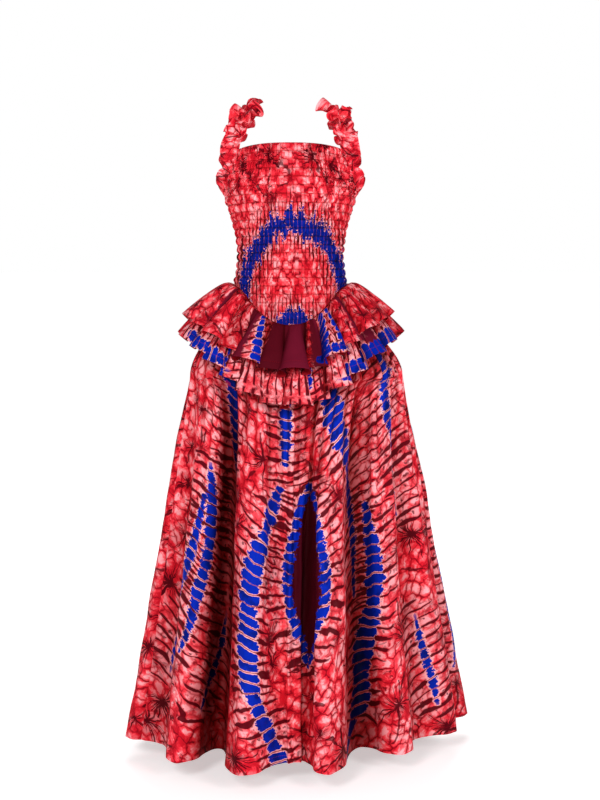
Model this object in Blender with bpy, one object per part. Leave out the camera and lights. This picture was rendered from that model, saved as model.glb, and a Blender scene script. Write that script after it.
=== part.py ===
"""A worn tie-dyed cotton gown: smocked bodice, frilled straps, two-tier basque peplum and a gathered skirt.

The origin is midway between the two shoulder straps, at the height where the shoulders carry them.
+Z is up and the front of the gown faces -Y. Angles round the gown run from the front centre (0) to the
wearer's left side (90, at +X) and on to the back centre (180).
"""

import math

import bpy
import numpy as np

# Driving dimensions, in metres and degrees.
CLOTH_WALL = 0.0020
FRILL_WALL = 0.0016
SEAM_GAP = 0.0003
HEM_HEIGHT = -1.480
HIP_HEIGHT = -0.600
SEAM_SIDE_HEIGHT = -0.388
BASQUE_DIP = 0.087
BASQUE_POINT = 4.0
BACK_DIP = 0.018

# The smocking: shirring lines across, gathers between them.
SMOCK_ROWS = {"front": 20, "back": 17}
SMOCK_COLUMNS = 30
PUFF_HIGH = 0.0034
PUFF_LOW = 0.0012
INNER_STEP = 4

# The gown's rings over a general figure, a row for each height.
RING_COLUMNS = ("height", "half_width", "front", "back", "roundness")
RINGS = (
    (0.000, 0.144, 0.070, 0.090, 0.80),
    (-0.060, 0.146, 0.090, 0.098, 0.80),
    (-0.120, 0.150, 0.120, 0.106, 0.80),
    (-0.180, 0.149, 0.136, 0.106, 0.82),
    (-0.220, 0.136, 0.128, 0.099, 0.84),
    (-0.260, 0.126, 0.112, 0.091, 0.86),
    (-0.320, 0.119, 0.098, 0.085, 0.88),
    (-0.360, 0.123, 0.100, 0.092, 0.90),
    (-0.400, 0.134, 0.107, 0.104, 0.92),
    (-0.440, 0.150, 0.115, 0.116, 0.94),
    (-0.500, 0.172, 0.124, 0.130, 0.96),
)

# Each panel of the bodice: its middle angle, its top edge and its armholes.
PANELS = {
    "front": {"middle": 0.0, "top": -0.060, "corner_drop": 0.018, "top_half_angle": 54.0, "armhole": 0.34},
    "back": {"middle": 180.0, "top": -0.100, "corner_drop": 0.006, "top_half_angle": 56.0, "armhole": 0.29},
}
ARMHOLE_CURVE = 1.8

# The skirt's plain rings at the hip and at the hem: centre, half width, front and back depth.
SKIRT_HIP = {"x": 0.014, "y": 0.012, "half_width": 0.243, "front": 0.166, "back": 0.190}
SKIRT_HEM = {"x": 0.018, "y": 0.045, "half_width": 0.375, "front": 0.270, "back": 0.330}
FOLD_GROWTH = 0.52
UPPER_GATHER = 0.007

# The skirt's hanging folds, a row for each: its angle at the hip, then where its crest
# and the valley after it stand at the hem.
FOLD_COLUMNS = ("angle", "crest_x", "crest_y", "valley_x", "valley_y")
FOLDS = (
    (-99.0, -0.400, 0.046, -0.302, -0.030),
    (-56.0, -0.262, -0.190, -0.165, -0.068),
    (-25.0, -0.120, -0.284, -0.026, -0.190),
    (2.0, 0.008, -0.184, 0.034, -0.172),
    (26.0, 0.092, -0.278, 0.160, -0.058),
    (58.0, 0.262, -0.118, 0.300, 0.020),
    (84.0, 0.408, 0.092, 0.362, 0.160),
    (108.0, 0.446, 0.262, 0.340, 0.250),
    (134.0, 0.320, 0.365, 0.235, 0.290),
    (152.0, 0.190, 0.400, 0.125, 0.320),
    (170.0, 0.062, 0.415, 0.010, 0.325),
    (188.0, -0.052, 0.412, -0.110, 0.320),
    (207.0, -0.170, 0.392, -0.215, 0.295),
    (227.0, -0.292, 0.330, -0.300, 0.225),
    (249.0, -0.378, 0.210, -0.322, 0.130),
)
STEPS_PER_BEND = 4
SIDE_SEAMS = (0.5, 12.5)
SKIRT_ROWS = (0.0, 0.06, 0.13, 0.22, 0.34, 0.50, 0.66, 0.83, 1.0)

# The peplum's two gathered tiers: length down the cloth and how steeply they hang.
PEPLUM = {
    "upper": {"length": 0.122, "front_extra": 0.008, "front_slope": 55.0, "side_slope": 34.0,
              "back_slope": 44.0, "depth": 0.022, "stand_off": 0.0074, "lean": -0.008},
    "lower": {"length": 0.166, "front_extra": 0.026, "front_slope": 67.0, "side_slope": 41.0,
              "back_slope": 55.0, "depth": 0.016, "stand_off": 0.0036, "lean": 0.003},
}
TIER_ROWS = (0.0, 0.30, 0.65, 1.0)
STEPS_PER_FLUTE = 6
# Both tiers hang in the same flutes, a row for each: the crest's angle and its share of the depth.
FLUTE_COLUMNS = ("angle", "depth")
FLUTES = (
    (-90.0, 0.80),
    (-74.0, 1.00),
    (-59.0, 0.75),
    (-46.0, 0.90),
    (-34.0, 0.70),
    (-21.0, 1.00),
    (-8.5, 0.80),
    (3.5, 1.15),
    (14.0, 0.60),
    (25.5, 1.05),
    (38.0, 0.80),
    (52.0, 1.00),
    (69.0, 0.85),
    (86.0, 0.95),
    (103.0, 0.80),
    (121.0, 1.00),
    (138.0, 0.85),
    (154.0, 1.05),
    (171.0, 0.80),
    (188.0, 1.00),
    (204.0, 0.85),
    (221.0, 1.00),
    (237.0, 0.80),
    (254.0, 0.95),
)

# The strap over the shoulder, drawn for the +X side: the gathering line and the way its cloth faces.
SHOULDER_COLUMNS = ("x", "y", "z", "face_x", "face_y", "face_z")
SHOULDER = (
    (0.119, -0.050, -0.046, 0.45, -0.75, 0.40),
    (0.111, -0.028, -0.010, 0.25, -0.55, 0.80),
    (0.105, 0.002, 0.006, 0.12, 0.00, 0.99),
    (0.109, 0.034, -0.008, 0.22, 0.55, 0.80),
    (0.119, 0.060, -0.050, 0.45, 0.78, 0.40),
)
EDGE_STATIONS = {"front": (0.33, 0.27, 0.20, 0.12, 0.05, 0.0), "back": (0.0, 0.06, 0.12, 0.18, 0.23, 0.27)}
# Frill widths along the strap from the front underarm to the back underarm, and the degrees
# by which the frills stand off the strap and swing about that.
FRILL_COLUMNS = ("share", "inner", "outer", "inner_stand", "outer_stand", "swing")
FRILLS = (
    (0.00, 0.003, 0.010, 8.0, 20.0, 0.0),
    (0.12, 0.004, 0.030, 10.0, 52.0, 8.0),
    (0.22, 0.005, 0.022, 10.0, 50.0, 8.0),
    (0.31, 0.006, 0.038, 12.0, 44.0, 10.0),
    (0.39, 0.022, 0.044, 20.0, 42.0, 16.0),
    (0.52, 0.048, 0.042, 46.0, 50.0, 32.0),
    (0.63, 0.030, 0.042, 26.0, 44.0, 20.0),
    (0.71, 0.006, 0.036, 12.0, 42.0, 10.0),
    (0.84, 0.005, 0.026, 10.0, 46.0, 8.0),
    (1.00, 0.003, 0.010, 8.0, 20.0, 0.0),
)
FRILL_WAVES = 12
FRILL_STEPS = 66
FRILL_ACROSS = (-1.0, -0.5, 0.0, 0.5, 1.0)
STRAP_CLEAR = 0.0008
RIM_ALLOWANCE = 0.0005

# Colours of the dyed cotton as it shows on each piece, with roughness.
CLOTHS = {
    "bodice_cloth": ((0.62, 0.08, 0.10, 1.0), 0.75),
    "peplum_cloth": ((0.60, 0.07, 0.10, 1.0), 0.72),
    "skirt_cloth": ((0.66, 0.09, 0.11, 1.0), 0.72),
    "strap_cloth": ((0.64, 0.08, 0.11, 1.0), 0.72),
}


def column(table, columns, name):
    """One named column of a table, as an array."""
    return np.array([row[columns.index(name)] for row in table], float)


def smooth_through(knots, values, at):
    """Values at any place on a smooth curve through the knots, which run in rising order."""
    knots, values, at = np.asarray(knots, float), np.asarray(values, float), np.asarray(at, float)
    slopes = np.gradient(values, knots)
    place = np.clip(np.searchsorted(knots, at, side="right") - 1, 0, len(knots) - 2)
    span = knots[place + 1] - knots[place]
    share = np.clip((at - knots[place]) / span, 0.0, 1.0)
    start, end = values[place], values[place + 1]
    cubic = share ** 3
    square = share ** 2
    return (
        (2 * cubic - 3 * square + 1) * start
        + (cubic - 2 * square + share) * span * slopes[place]
        + (3 * square - 2 * cubic) * end
        + (cubic - square) * span * slopes[place + 1]
    )


def eased(share):
    """0 to 1 with a soft start and end."""
    share = np.clip(share, 0.0, 1.0)
    return share * share * (3 - 2 * share)


def ring_value(name, height):
    """A ring size at a height."""
    heights = -column(RINGS, RING_COLUMNS, "height")
    return smooth_through(heights, column(RINGS, RING_COLUMNS, name), -np.asarray(height, float))


def body_point(angle, height):
    """The inner face of the gown at an angle and a height."""
    turn = np.radians(angle)
    roundness = ring_value("roundness", height)
    across = np.sign(np.sin(turn)) * np.abs(np.sin(turn)) ** roundness
    along = np.abs(np.cos(turn)) ** roundness
    depth = np.where(np.cos(turn) >= 0, -ring_value("front", height), ring_value("back", height))
    return np.stack([ring_value("half_width", height) * across, depth * along, height + 0 * turn], -1)


def seam_height(angle):
    """The basque seam: level at the sides, dipping to a soft point in front."""
    turn = np.radians(angle)
    front = np.clip(np.cos(turn), 0, 1) ** BASQUE_POINT
    back = np.clip(-np.cos(turn), 0, 1) ** 2
    return SEAM_SIDE_HEIGHT - BASQUE_DIP * front - BACK_DIP * back


def grid_normals(points):
    """Unit normals of a grid of points, rows running down and columns towards rising angles."""
    down = np.gradient(points, axis=0)
    across = np.gradient(points, axis=1)
    normals = np.cross(down, across)
    return normals / np.linalg.norm(normals, axis=-1, keepdims=True)


def grid_faces(rows, columns, start=0):
    """Quads of a grid whose points run row by row."""
    faces = []
    for row in range(rows - 1):
        for place in range(columns - 1):
            corner = start + row * columns + place
            faces.append((corner, corner + columns, corner + columns + 1, corner + 1))
    return faces


def closed_wall(name, outer, inner, inner_rows, cloth):
    """A closed wall of cloth between an outer grid and an inner grid that has only some of its rows."""
    rows, columns = outer.shape[:2]
    points = [tuple(p) for p in outer.reshape(-1, 3)] + [tuple(p) for p in inner.reshape(-1, 3)]
    behind = rows * columns
    faces = grid_faces(rows, columns)
    faces += [tuple(reversed(face)) for face in grid_faces(len(inner_rows), columns, behind)]
    last = behind + (len(inner_rows) - 1) * columns
    foot = (rows - 1) * columns
    for place in range(columns - 1):
        faces.append((place, place + 1, behind + place + 1, behind + place))
        faces.append((foot + place + 1, foot + place, last + place, last + place + 1))
    for edge in (0, columns - 1):
        for step in range(len(inner_rows) - 1):
            first, end = inner_rows[step], inner_rows[step + 1]
            near = behind + step * columns + edge
            far = near + columns
            middle = (first + end) // 2
            fans = [(row * columns + edge, near, (row + 1) * columns + edge) for row in range(first, middle)]
            fans.append((middle * columns + edge, near, far))
            fans += [(row * columns + edge, far, (row + 1) * columns + edge) for row in range(middle, end)]
            faces += fans if edge == 0 else [tuple(reversed(fan)) for fan in fans]
    mesh = bpy.data.meshes.new(name)
    mesh.from_pydata(points, [], faces)
    mesh.materials.append(bpy.data.materials[cloth])
    mesh.shade_smooth()
    bpy.data.collections["gown"].objects.link(bpy.data.objects.new(name, mesh))


def cloth_wall(name, middle, wall, cloth, beyond):
    """A wall about a grid of middle points; columns beyond each end only steady the seams' normals."""
    normals = grid_normals(middle)
    if beyond:
        middle = seam_trimmed(middle[:, beyond:-beyond])
        normals = normals[:, beyond:-beyond]
    outer = middle + normals * wall / 2
    inner = middle - normals * wall / 2
    closed_wall(name, outer, inner, list(range(len(middle))), cloth)


def seam_trimmed(points):
    """A grid drawn in by half a seam gap at its first and last columns."""
    points = points.copy()
    for edge, beside in ((0, 1), (-1, -2)):
        step = points[:, beside] - points[:, edge]
        points[:, edge] += step / np.linalg.norm(step, axis=1, keepdims=True) * SEAM_GAP / 2
    return points


def panel_angles(side, down, across):
    """Angles on a bodice panel: down from 0 at its top edge to 1 at the seam, across from -1 to 1."""
    panel = PANELS[side]
    full = 90.0 - math.degrees(SEAM_GAP / 2 / ring_value("half_width", SEAM_SIDE_HEIGHT))
    opened = np.clip(down / panel["armhole"], 0, 1) ** ARMHOLE_CURVE
    half_angle = panel["top_half_angle"] + (full - panel["top_half_angle"]) * opened
    return panel["middle"] + across * half_angle


def panel_grid(side, down, across):
    """Plain points of a bodice panel's inner face."""
    panel = PANELS[side]
    angle = panel_angles(side, down, across)
    top = panel["top"] - panel["corner_drop"] * across ** 2
    height = top + (seam_height(angle) + SEAM_GAP / 2 - top) * down
    return body_point(angle, height)


def smocked_panel(side):
    """A bodice panel: smocking raised in the outer points over a plain inner face."""
    rows, columns = 2 * SMOCK_ROWS[side] + 1, SMOCK_COLUMNS + 1
    across = np.linspace(-1, 1, columns)[None, :]
    down = np.linspace(0, 1, rows)[:, None]
    plain = panel_grid(side, down + 0 * across, across + 0 * down)
    normals = grid_normals(plain)
    puffed = np.arange(rows)[:, None] % 2
    gathers = np.where(np.arange(columns)[None, :] % 2, PUFF_HIGH, PUFF_LOW)
    gathers[:, (0, 1, -2, -1)] = 0.0
    outer = plain + normals * (CLOTH_WALL + puffed * gathers)[..., None]
    inner_rows = np.arange(0, rows - 1, INNER_STEP).tolist() + [rows - 1]
    closed_wall("bodice_" + side, outer, plain[inner_rows], inner_rows, "bodice_cloth")


def plain_ring(ring, angle):
    """Points of a plain elliptical ring, across and fore-and-aft."""
    turn = np.radians(angle)
    depth = np.where(np.cos(turn) >= 0, ring["front"], ring["back"])
    return np.stack([ring["x"] + ring["half_width"] * np.sin(turn), ring["y"] - depth * np.cos(turn)], -1)


def hem_bends():
    """The hem's crests and valleys in order round the gown, with their angles at the hip."""
    angles = column(FOLDS, FOLD_COLUMNS, "angle")
    following = np.append(angles[1:], angles[0] + 360)
    crests = np.stack([column(FOLDS, FOLD_COLUMNS, "crest_x"), column(FOLDS, FOLD_COLUMNS, "crest_y")], -1)
    valleys = np.stack([column(FOLDS, FOLD_COLUMNS, "valley_x"), column(FOLDS, FOLD_COLUMNS, "valley_y")], -1)
    bends = np.stack([crests, valleys], 1).reshape(-1, 2)
    places = np.stack([angles, (angles + following) / 2], 1).reshape(-1)
    return places, bends


def skirt_plan(first_bend, last_bend):
    """Angles and hem points along one smooth closed curve through all the bends, a bend beyond each end."""
    places, bends = hem_bends()
    count = len(bends)
    numbers = np.arange(-count, 2 * count)
    turns = numbers // count
    around = bends[numbers % count]
    angles = places[numbers % count] + 360.0 * turns
    steps = int(round((last_bend - first_bend + 2) * STEPS_PER_BEND))
    at = np.linspace(first_bend - 1, last_bend + 1, steps + 1)
    hem = np.stack([smooth_through(numbers, around[:, axis], at) for axis in range(2)], -1)
    return smooth_through(numbers, angles, at), hem, at


def skirt_grid(first_bend, last_bend):
    """The skirt's middle surface between two bends: rings from the basque seam through the hip to the hem."""
    angle, hem, bend = skirt_plan(first_bend, last_bend)
    top = seam_height(angle) - SEAM_GAP / 2 - RIM_ALLOWANCE
    waist = body_point(angle, top)[:, :2]
    hip = plain_ring(SKIRT_HIP, angle)
    hem_ring = plain_ring(SKIRT_HEM, angle)
    outward = np.stack([np.sin(np.radians(angle)), -np.cos(np.radians(angle))], -1)
    rows = []
    for share in SKIRT_ROWS:
        height = top + (HEM_HEIGHT - top) * share
        above = eased((top - height) / (top - HIP_HEIGHT))[:, None]
        fall = np.clip((HIP_HEIGHT - height) / (HIP_HEIGHT - HEM_HEIGHT), 0, 1)[:, None]
        base = waist + (hip - waist) * above + (hem_ring - hip) * fall
        folded = (hem - hem_ring) * fall ** FOLD_GROWTH
        fading = UPPER_GATHER * above * (1 - fall) ** 2
        gathers = outward * fading * -np.cos(2 * np.pi * bend)[:, None] * np.sin(np.pi * share)
        rows.append(np.column_stack([base + outward * CLOTH_WALL / 2 + folded + gathers, height]))
    return np.array(rows)


def flute_wave(angle):
    """The peplum's flutes round the gown: 0 in the valleys and each crest's share of the depth on it."""
    crests = column(FLUTES, FLUTE_COLUMNS, "angle")
    around = np.concatenate([crests - 360, crests, crests + 360])
    depths = np.tile(column(FLUTES, FLUTE_COLUMNS, "depth"), 3)
    number = np.interp(angle, around, np.arange(len(around)))
    depth = np.interp(angle, around, depths)
    return depth * (0.5 + 0.5 * np.cos(2 * np.pi * number)) ** 0.8


def tier_slope(angle, tier):
    """How steeply a tier hangs below level, in radians."""
    turn = np.radians(angle)
    front = np.clip(np.cos(turn), 0, 1) ** 1.4
    back = np.clip(-np.cos(turn), 0, 1) ** 1.4
    slope = tier["side_slope"] + (tier["front_slope"] - tier["side_slope"]) * front
    return np.radians(slope + (tier["back_slope"] - tier["side_slope"]) * back)


def tier_grid(tier, first_angle, last_angle):
    """A peplum tier's middle surface, from the basque seam down and out to its hem."""
    steps = len(FLUTES) * STEPS_PER_FLUTE // 2
    beyond = (last_angle - first_angle) / steps
    angle = np.linspace(first_angle - beyond, last_angle + beyond, steps + 3)
    outward = np.stack([np.sin(np.radians(angle)), -np.cos(np.radians(angle)), 0 * angle], -1)
    up = np.array([0.0, 0.0, 1.0])
    slope = tier_slope(angle, tier)[:, None]
    top = seam_height(angle) - SEAM_GAP - CLOTH_WALL / 2
    root = body_point(angle, top) + outward * tier["stand_off"]
    length = tier["length"] + tier["front_extra"] * np.clip(np.cos(np.radians(angle)), 0, 1)[:, None] ** 2
    lifted = outward * np.sin(slope) + up * np.cos(slope)
    wave = flute_wave(angle)[:, None]
    rows = []
    for share in TIER_ROWS:
        spring = share * (1.25 - 0.25 * share)
        away = length * (outward * np.cos(slope) * spring - up * np.sin(slope) * share)
        swayed = np.array([tier["lean"] * share, 0.0, 0.0])
        rows.append(root + away + swayed + lifted * tier["depth"] * wave * share)
    return np.array(rows)


def strap_route():
    """The gathering line of the +X strap and the way its cloth faces, from front underarm to back underarm."""
    places, faces = [], []
    for side in ("front", "back"):
        end = 1.0 if side == "front" else -1.0
        nearby = 0.01
        for station in EDGE_STATIONS[side]:
            down = np.array([[station], [station + nearby]])
            across = np.array([[end - nearby * end, end]])
            corner = panel_grid(side, down + 0 * across, across + 0 * down)
            normal = np.cross(corner[1, 1] - corner[0, 1], corner[0, 1] - corner[0, 0])
            normal *= np.sign(normal @ np.array([corner[0, 1][0], corner[0, 1][1], 0.0]))
            normal /= np.linalg.norm(normal)
            out = CLOTH_WALL + STRAP_CLEAR + FRILL_WALL / 2
            places.append(corner[0, 1] + normal * out)
            faces.append(normal)
        if side == "front":
            for row in SHOULDER:
                places.append(np.array(row[:3]))
                faces.append(np.array(row[3:]) / np.linalg.norm(row[3:]))
    places, faces = np.array(places), np.array(faces)
    run = np.concatenate([[0], np.cumsum(np.linalg.norm(np.diff(places, axis=0), axis=1))])
    return run / run[-1], places, faces


def strap_grid(mirror, phase):
    """The strap: one strip gathered along its length, frilled at the neck edge and at the arm edge."""
    knots, places, faces = strap_route()
    share = np.linspace(0, 1, FRILL_STEPS + 1)
    line = np.stack([smooth_through(knots, places[:, axis], share) for axis in range(3)], -1)
    face = np.stack([smooth_through(knots, faces[:, axis], share) for axis in range(3)], -1)
    along = np.gradient(line, axis=0)
    along /= np.linalg.norm(along, axis=1, keepdims=True)
    side = np.cross(along, face)
    side /= np.linalg.norm(side, axis=1, keepdims=True)
    face = np.cross(side, along)
    stations = column(FRILLS, FRILL_COLUMNS, "share")
    inner = smooth_through(stations, column(FRILLS, FRILL_COLUMNS, "inner"), share)
    outer = smooth_through(stations, column(FRILLS, FRILL_COLUMNS, "outer"), share)
    inner_stand = smooth_through(stations, column(FRILLS, FRILL_COLUMNS, "inner_stand"), share)
    outer_stand = smooth_through(stations, column(FRILLS, FRILL_COLUMNS, "outer_stand"), share)
    swing = smooth_through(stations, column(FRILLS, FRILL_COLUMNS, "swing"), share)
    rows = []
    for across in FRILL_ACROSS:
        width = (outer if across > 0 else inner)[:, None]
        stand = outer_stand if across > 0 else inner_stand
        turn = 2 * np.pi * FRILL_WAVES * share + phase + (0.0 if across > 0 else 2.1)
        rise = np.radians(stand + swing * np.sin(turn))[:, None]
        leaning = side * np.cos(rise) * np.sign(across) + face * np.sin(rise)
        rows.append(line + leaning * width * abs(across))
    points = np.array(rows)
    if mirror:
        points = points[:, ::-1] * np.array([-1.0, 1.0, 1.0])
    return points


def clear_scene():
    """Removes what the scene holds and makes the gown's collection and cloths."""
    for thing in list(bpy.data.objects):
        bpy.data.objects.remove(thing)
    bpy.context.scene.collection.children.link(bpy.data.collections.new("gown"))
    for name, (colour, roughness) in CLOTHS.items():
        cloth = bpy.data.materials.new(name)
        cloth.use_nodes = True
        shader = cloth.node_tree.nodes["Principled BSDF"]
        shader.inputs["Base Color"].default_value = colour
        shader.inputs["Roughness"].default_value = roughness
        shader.inputs["Metallic"].default_value = 0.0


def build_gown():
    """Makes every piece of the gown."""
    clear_scene()
    for side in ("front", "back"):
        smocked_panel(side)
    seams = (SIDE_SEAMS[0], SIDE_SEAMS[1], SIDE_SEAMS[0] + 2 * len(FOLDS))
    for place, side in enumerate(("front", "back")):
        middle = skirt_grid(seams[place], seams[place + 1])
        cloth_wall("skirt_" + side, middle, CLOTH_WALL, "skirt_cloth", STEPS_PER_BEND)
    for name, tier in PEPLUM.items():
        for side, first, last in (("front", -90.0, 90.0), ("back", 90.0, 270.0)):
            cloth_wall(f"peplum_{name}_{side}", tier_grid(tier, first, last), CLOTH_WALL, "peplum_cloth", 1)
    cloth_wall("strap_left", strap_grid(False, 0.4), FRILL_WALL, "strap_cloth", 0)
    cloth_wall("strap_right", strap_grid(True, 1.3), FRILL_WALL, "strap_cloth", 0)


build_gown()
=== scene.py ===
import math

import bpy
import numpy as np
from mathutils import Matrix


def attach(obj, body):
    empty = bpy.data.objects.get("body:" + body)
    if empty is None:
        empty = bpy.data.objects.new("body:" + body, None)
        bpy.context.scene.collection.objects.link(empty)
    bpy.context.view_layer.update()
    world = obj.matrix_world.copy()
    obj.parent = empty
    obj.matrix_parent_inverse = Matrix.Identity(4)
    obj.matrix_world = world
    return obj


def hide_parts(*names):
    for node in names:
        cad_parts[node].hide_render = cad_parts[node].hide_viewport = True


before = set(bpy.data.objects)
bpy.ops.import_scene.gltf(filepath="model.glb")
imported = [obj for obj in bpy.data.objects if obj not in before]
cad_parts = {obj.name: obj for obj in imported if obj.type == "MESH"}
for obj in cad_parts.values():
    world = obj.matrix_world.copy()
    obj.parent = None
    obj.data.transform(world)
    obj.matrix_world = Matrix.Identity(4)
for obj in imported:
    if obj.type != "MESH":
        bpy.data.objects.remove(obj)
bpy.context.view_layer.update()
print("frame loaded")

# The viewer stands square in front, a little above the waist, and looks slightly down.
cameraPlan = {
    "place": (0.0223, -4.5, -0.2276),
    "tiltDown": 5.468,  # degrees
    "lens": 86.3,  # millimetres
    "sensorHeight": 36,
}


def placed(name, data):
    thing = bpy.data.objects.new(name, data)
    bpy.context.scene.collection.objects.link(thing)
    return thing


def setCamera():
    view = bpy.data.cameras.new("viewer")
    view.sensor_fit = "VERTICAL"
    view.sensor_height = cameraPlan["sensorHeight"]
    view.lens = cameraPlan["lens"]
    viewer = placed("viewer", view)
    viewer.location = cameraPlan["place"]
    viewer.rotation_euler = (math.radians(90 - cameraPlan["tiltDown"]), 0, 0)
    bpy.context.scene.camera = viewer


setCamera()


# Small shape helpers, shared by every piece.


def tableColumns(names, rows):
    return dict(zip(names, np.array(rows, float).T))


def smoothThrough(knots, values, at):
    # a smooth curve through the values, which are single numbers or places
    knots, values, at = (np.asarray(part, float) for part in (knots, values, at))
    slopes = np.gradient(values, knots, axis=0)
    place = np.clip(np.searchsorted(knots, at, side="right") - 1, 0, len(knots) - 2)
    span = knots[place + 1] - knots[place]
    share = np.clip((at - knots[place]) / span, 0.0, 1.0)
    if values.ndim > 1:
        span, share = span[..., None], share[..., None]
    cubic, square = share ** 3, share ** 2
    return (
        (2 * cubic - 3 * square + 1) * values[place]
        + (cubic - 2 * square + share) * span * slopes[place]
        + (3 * square - 2 * cubic) * values[place + 1]
        + (cubic - square) * span * slopes[place + 1]
    )


def eased(share):
    share = np.clip(share, 0.0, 1.0)
    return share * share * (3 - 2 * share)


def bell(off, width):
    return np.exp(-((off / width) ** 2))


def wobble(at, seed):
    # a soft uneven wave between about -1 and 1, the same on every run
    return (
        np.sin(at * 1.00 + seed * 2.3)
        + 0.6 * np.sin(at * 2.37 + seed * 5.1 + 1.0)
        + 0.4 * np.sin(at * 4.91 + seed * 3.7 + 2.0)
    ) / 1.6


def scattered(number, seed):
    # one fixed value from 0 to 1 for each whole number
    mix = np.sin(np.asarray(number, float) * 127.1 + seed * 311.7) * 43758.5453
    return mix - np.floor(mix)


def gridNormals(points):
    normals = np.cross(np.gradient(points, axis=0), np.gradient(points, axis=1))
    return normals / np.maximum(np.linalg.norm(normals, axis=-1, keepdims=True), 1e-12)


def bothFaces(middle, wall):
    half = gridNormals(middle) * wall / 2
    return middle + half, middle - half


def valueAt(spots, along, rows):
    # what each row of values holds at a spot of its own
    return np.array([np.interp(spot, along, row) for spot, row in zip(spots, rows)])[:, None]


def metresAlong(points, axis=0):
    steps = np.linalg.norm(np.diff(points, axis=axis), axis=-1)
    return np.insert(np.cumsum(steps, axis=axis), 0, 0.0, axis=axis)


def metresAcross(points, homeColumn):
    # how far each point lies from the home column, measured along the cloth of its own row
    run = metresAlong(points, 1)
    return run - valueAt([homeColumn] * len(run), np.arange(run.shape[1]), run)


# The general figure that the dress is cut for, as rings from the shoulders to the hip.
figure = {
    "names": ("height", "halfWidth", "front", "back", "roundness"),
    "rings": (
        (0.000, 0.144, 0.070, 0.090, 0.80),
        (-0.060, 0.146, 0.090, 0.098, 0.80),
        (-0.120, 0.150, 0.120, 0.106, 0.80),
        (-0.180, 0.149, 0.136, 0.106, 0.82),
        (-0.220, 0.136, 0.128, 0.099, 0.84),
        (-0.260, 0.126, 0.112, 0.091, 0.86),
        (-0.320, 0.119, 0.098, 0.085, 0.88),
        (-0.360, 0.123, 0.100, 0.092, 0.90),
        (-0.400, 0.134, 0.107, 0.104, 0.92),
        (-0.440, 0.150, 0.115, 0.116, 0.94),
        (-0.500, 0.172, 0.124, 0.130, 0.96),
    ),
    "seamSide": -0.388,  # height of the basque seam at the sides
    "seamDip": 0.087,  # how far it dips in front
    "seamPoint": 4.0,  # how pointed the dip is
    "seamBack": 0.018,
    "seamGap": 0.0003,
}
figureRings = tableColumns(figure["names"], figure["rings"])


def ringSize(name, height):
    return smoothThrough(-figureRings["height"], figureRings[name], -np.asarray(height, float))


def bodyPoint(angle, height):
    # angles run round the body in degrees, from 0 at the front centre
    turn = np.radians(angle)
    roundness = ringSize("roundness", height)
    across = np.sign(np.sin(turn)) * np.abs(np.sin(turn)) ** roundness
    along = np.abs(np.cos(turn)) ** roundness
    depth = np.where(np.cos(turn) >= 0, -ringSize("front", height), ringSize("back", height))
    return np.stack([ringSize("halfWidth", height) * across, depth * along, height + 0 * turn], -1)


def nearFront(angle, power):
    return np.clip(np.cos(np.radians(angle)), 0, 1) ** power


def nearBack(angle, power):
    return np.clip(-np.cos(np.radians(angle)), 0, 1) ** power


def outwardAt(angle):
    turn = np.radians(angle)
    return np.stack([np.sin(turn), -np.cos(turn), 0 * turn], -1)


def seamHeight(angle):
    dip = figure["seamDip"] * nearFront(angle, figure["seamPoint"])
    return figure["seamSide"] - dip - figure["seamBack"] * nearBack(angle, 2)


# Cloth pieces: an outer and an inner face joined round their edges.


def gridQuads(rows, columns, start=0):
    corner = (np.arange(rows - 1)[:, None] * columns + np.arange(columns - 1)).reshape(-1) + start
    return np.stack([corner, corner + columns, corner + columns + 1, corner + 1], -1).tolist()


def edgeFaces(rows, columns, innerRows):
    # the inner face has fewer rows, so fans of triangles close the two side edges
    faces = []
    behind = rows * columns
    last = behind + (len(innerRows) - 1) * columns
    foot = (rows - 1) * columns
    for place in range(columns - 1):
        faces.append((place, place + 1, behind + place + 1, behind + place))
        faces.append((foot + place + 1, foot + place, last + place, last + place + 1))
    for edge in (0, columns - 1):
        for step, (first, end) in enumerate(zip(innerRows[:-1], innerRows[1:])):
            near = behind + step * columns + edge
            far = near + columns
            middle = (first + end) // 2
            fans = [(row * columns + edge, near, (row + 1) * columns + edge) for row in range(first, middle)]
            fans.append((middle * columns + edge, near, far))
            fans += [(row * columns + edge, far, (row + 1) * columns + edge) for row in range(middle, end)]
            faces += fans if edge == 0 else [fan[::-1] for fan in fans]
    return faces


sharpBend = 62  # degrees; softer bends of the cloth are shaded smooth


def sewnPiece(name, kind, node, outer, inner, rowStep, layers):
    rows, columns = outer.shape[:2]
    innerRows = sorted(set(range(0, rows - 1, rowStep)) | {rows - 1})
    outside = gridQuads(rows, columns)
    inside = [face[::-1] for face in gridQuads(len(innerRows), columns, rows * columns)]
    faces = outside + inside + edgeFaces(rows, columns, innerRows)
    points = np.concatenate([outer.reshape(-1, 3), inner[innerRows].reshape(-1, 3)])
    mesh = bpy.data.meshes.new(name)
    mesh.from_pydata(points.tolist(), [], faces)
    for cloth in cloths[kind]:
        mesh.materials.append(cloth)
    wrongSide = np.zeros(len(faces), np.int32)
    wrongSide[len(outside):len(outside) + len(inside)] = 1
    mesh.polygons.foreach_set("material_index", wrongSide)
    for label, values in layers.items():
        flat = np.concatenate([values.reshape(-1), values[innerRows].reshape(-1)]).astype(np.float32)
        dataKind, field = ("FLOAT_VECTOR", "vector") if values.ndim == 3 else ("FLOAT", "value")
        mesh.attributes.new(label, dataKind, "POINT").data.foreach_set(field, flat)
    mesh.shade_smooth()
    mesh.set_sharp_from_angle(angle=math.radians(sharpBend))
    piece = placed(name, mesh)
    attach(piece, "root")
    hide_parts(node)


farAway = 9.0  # metres, for points that no band is near


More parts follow.
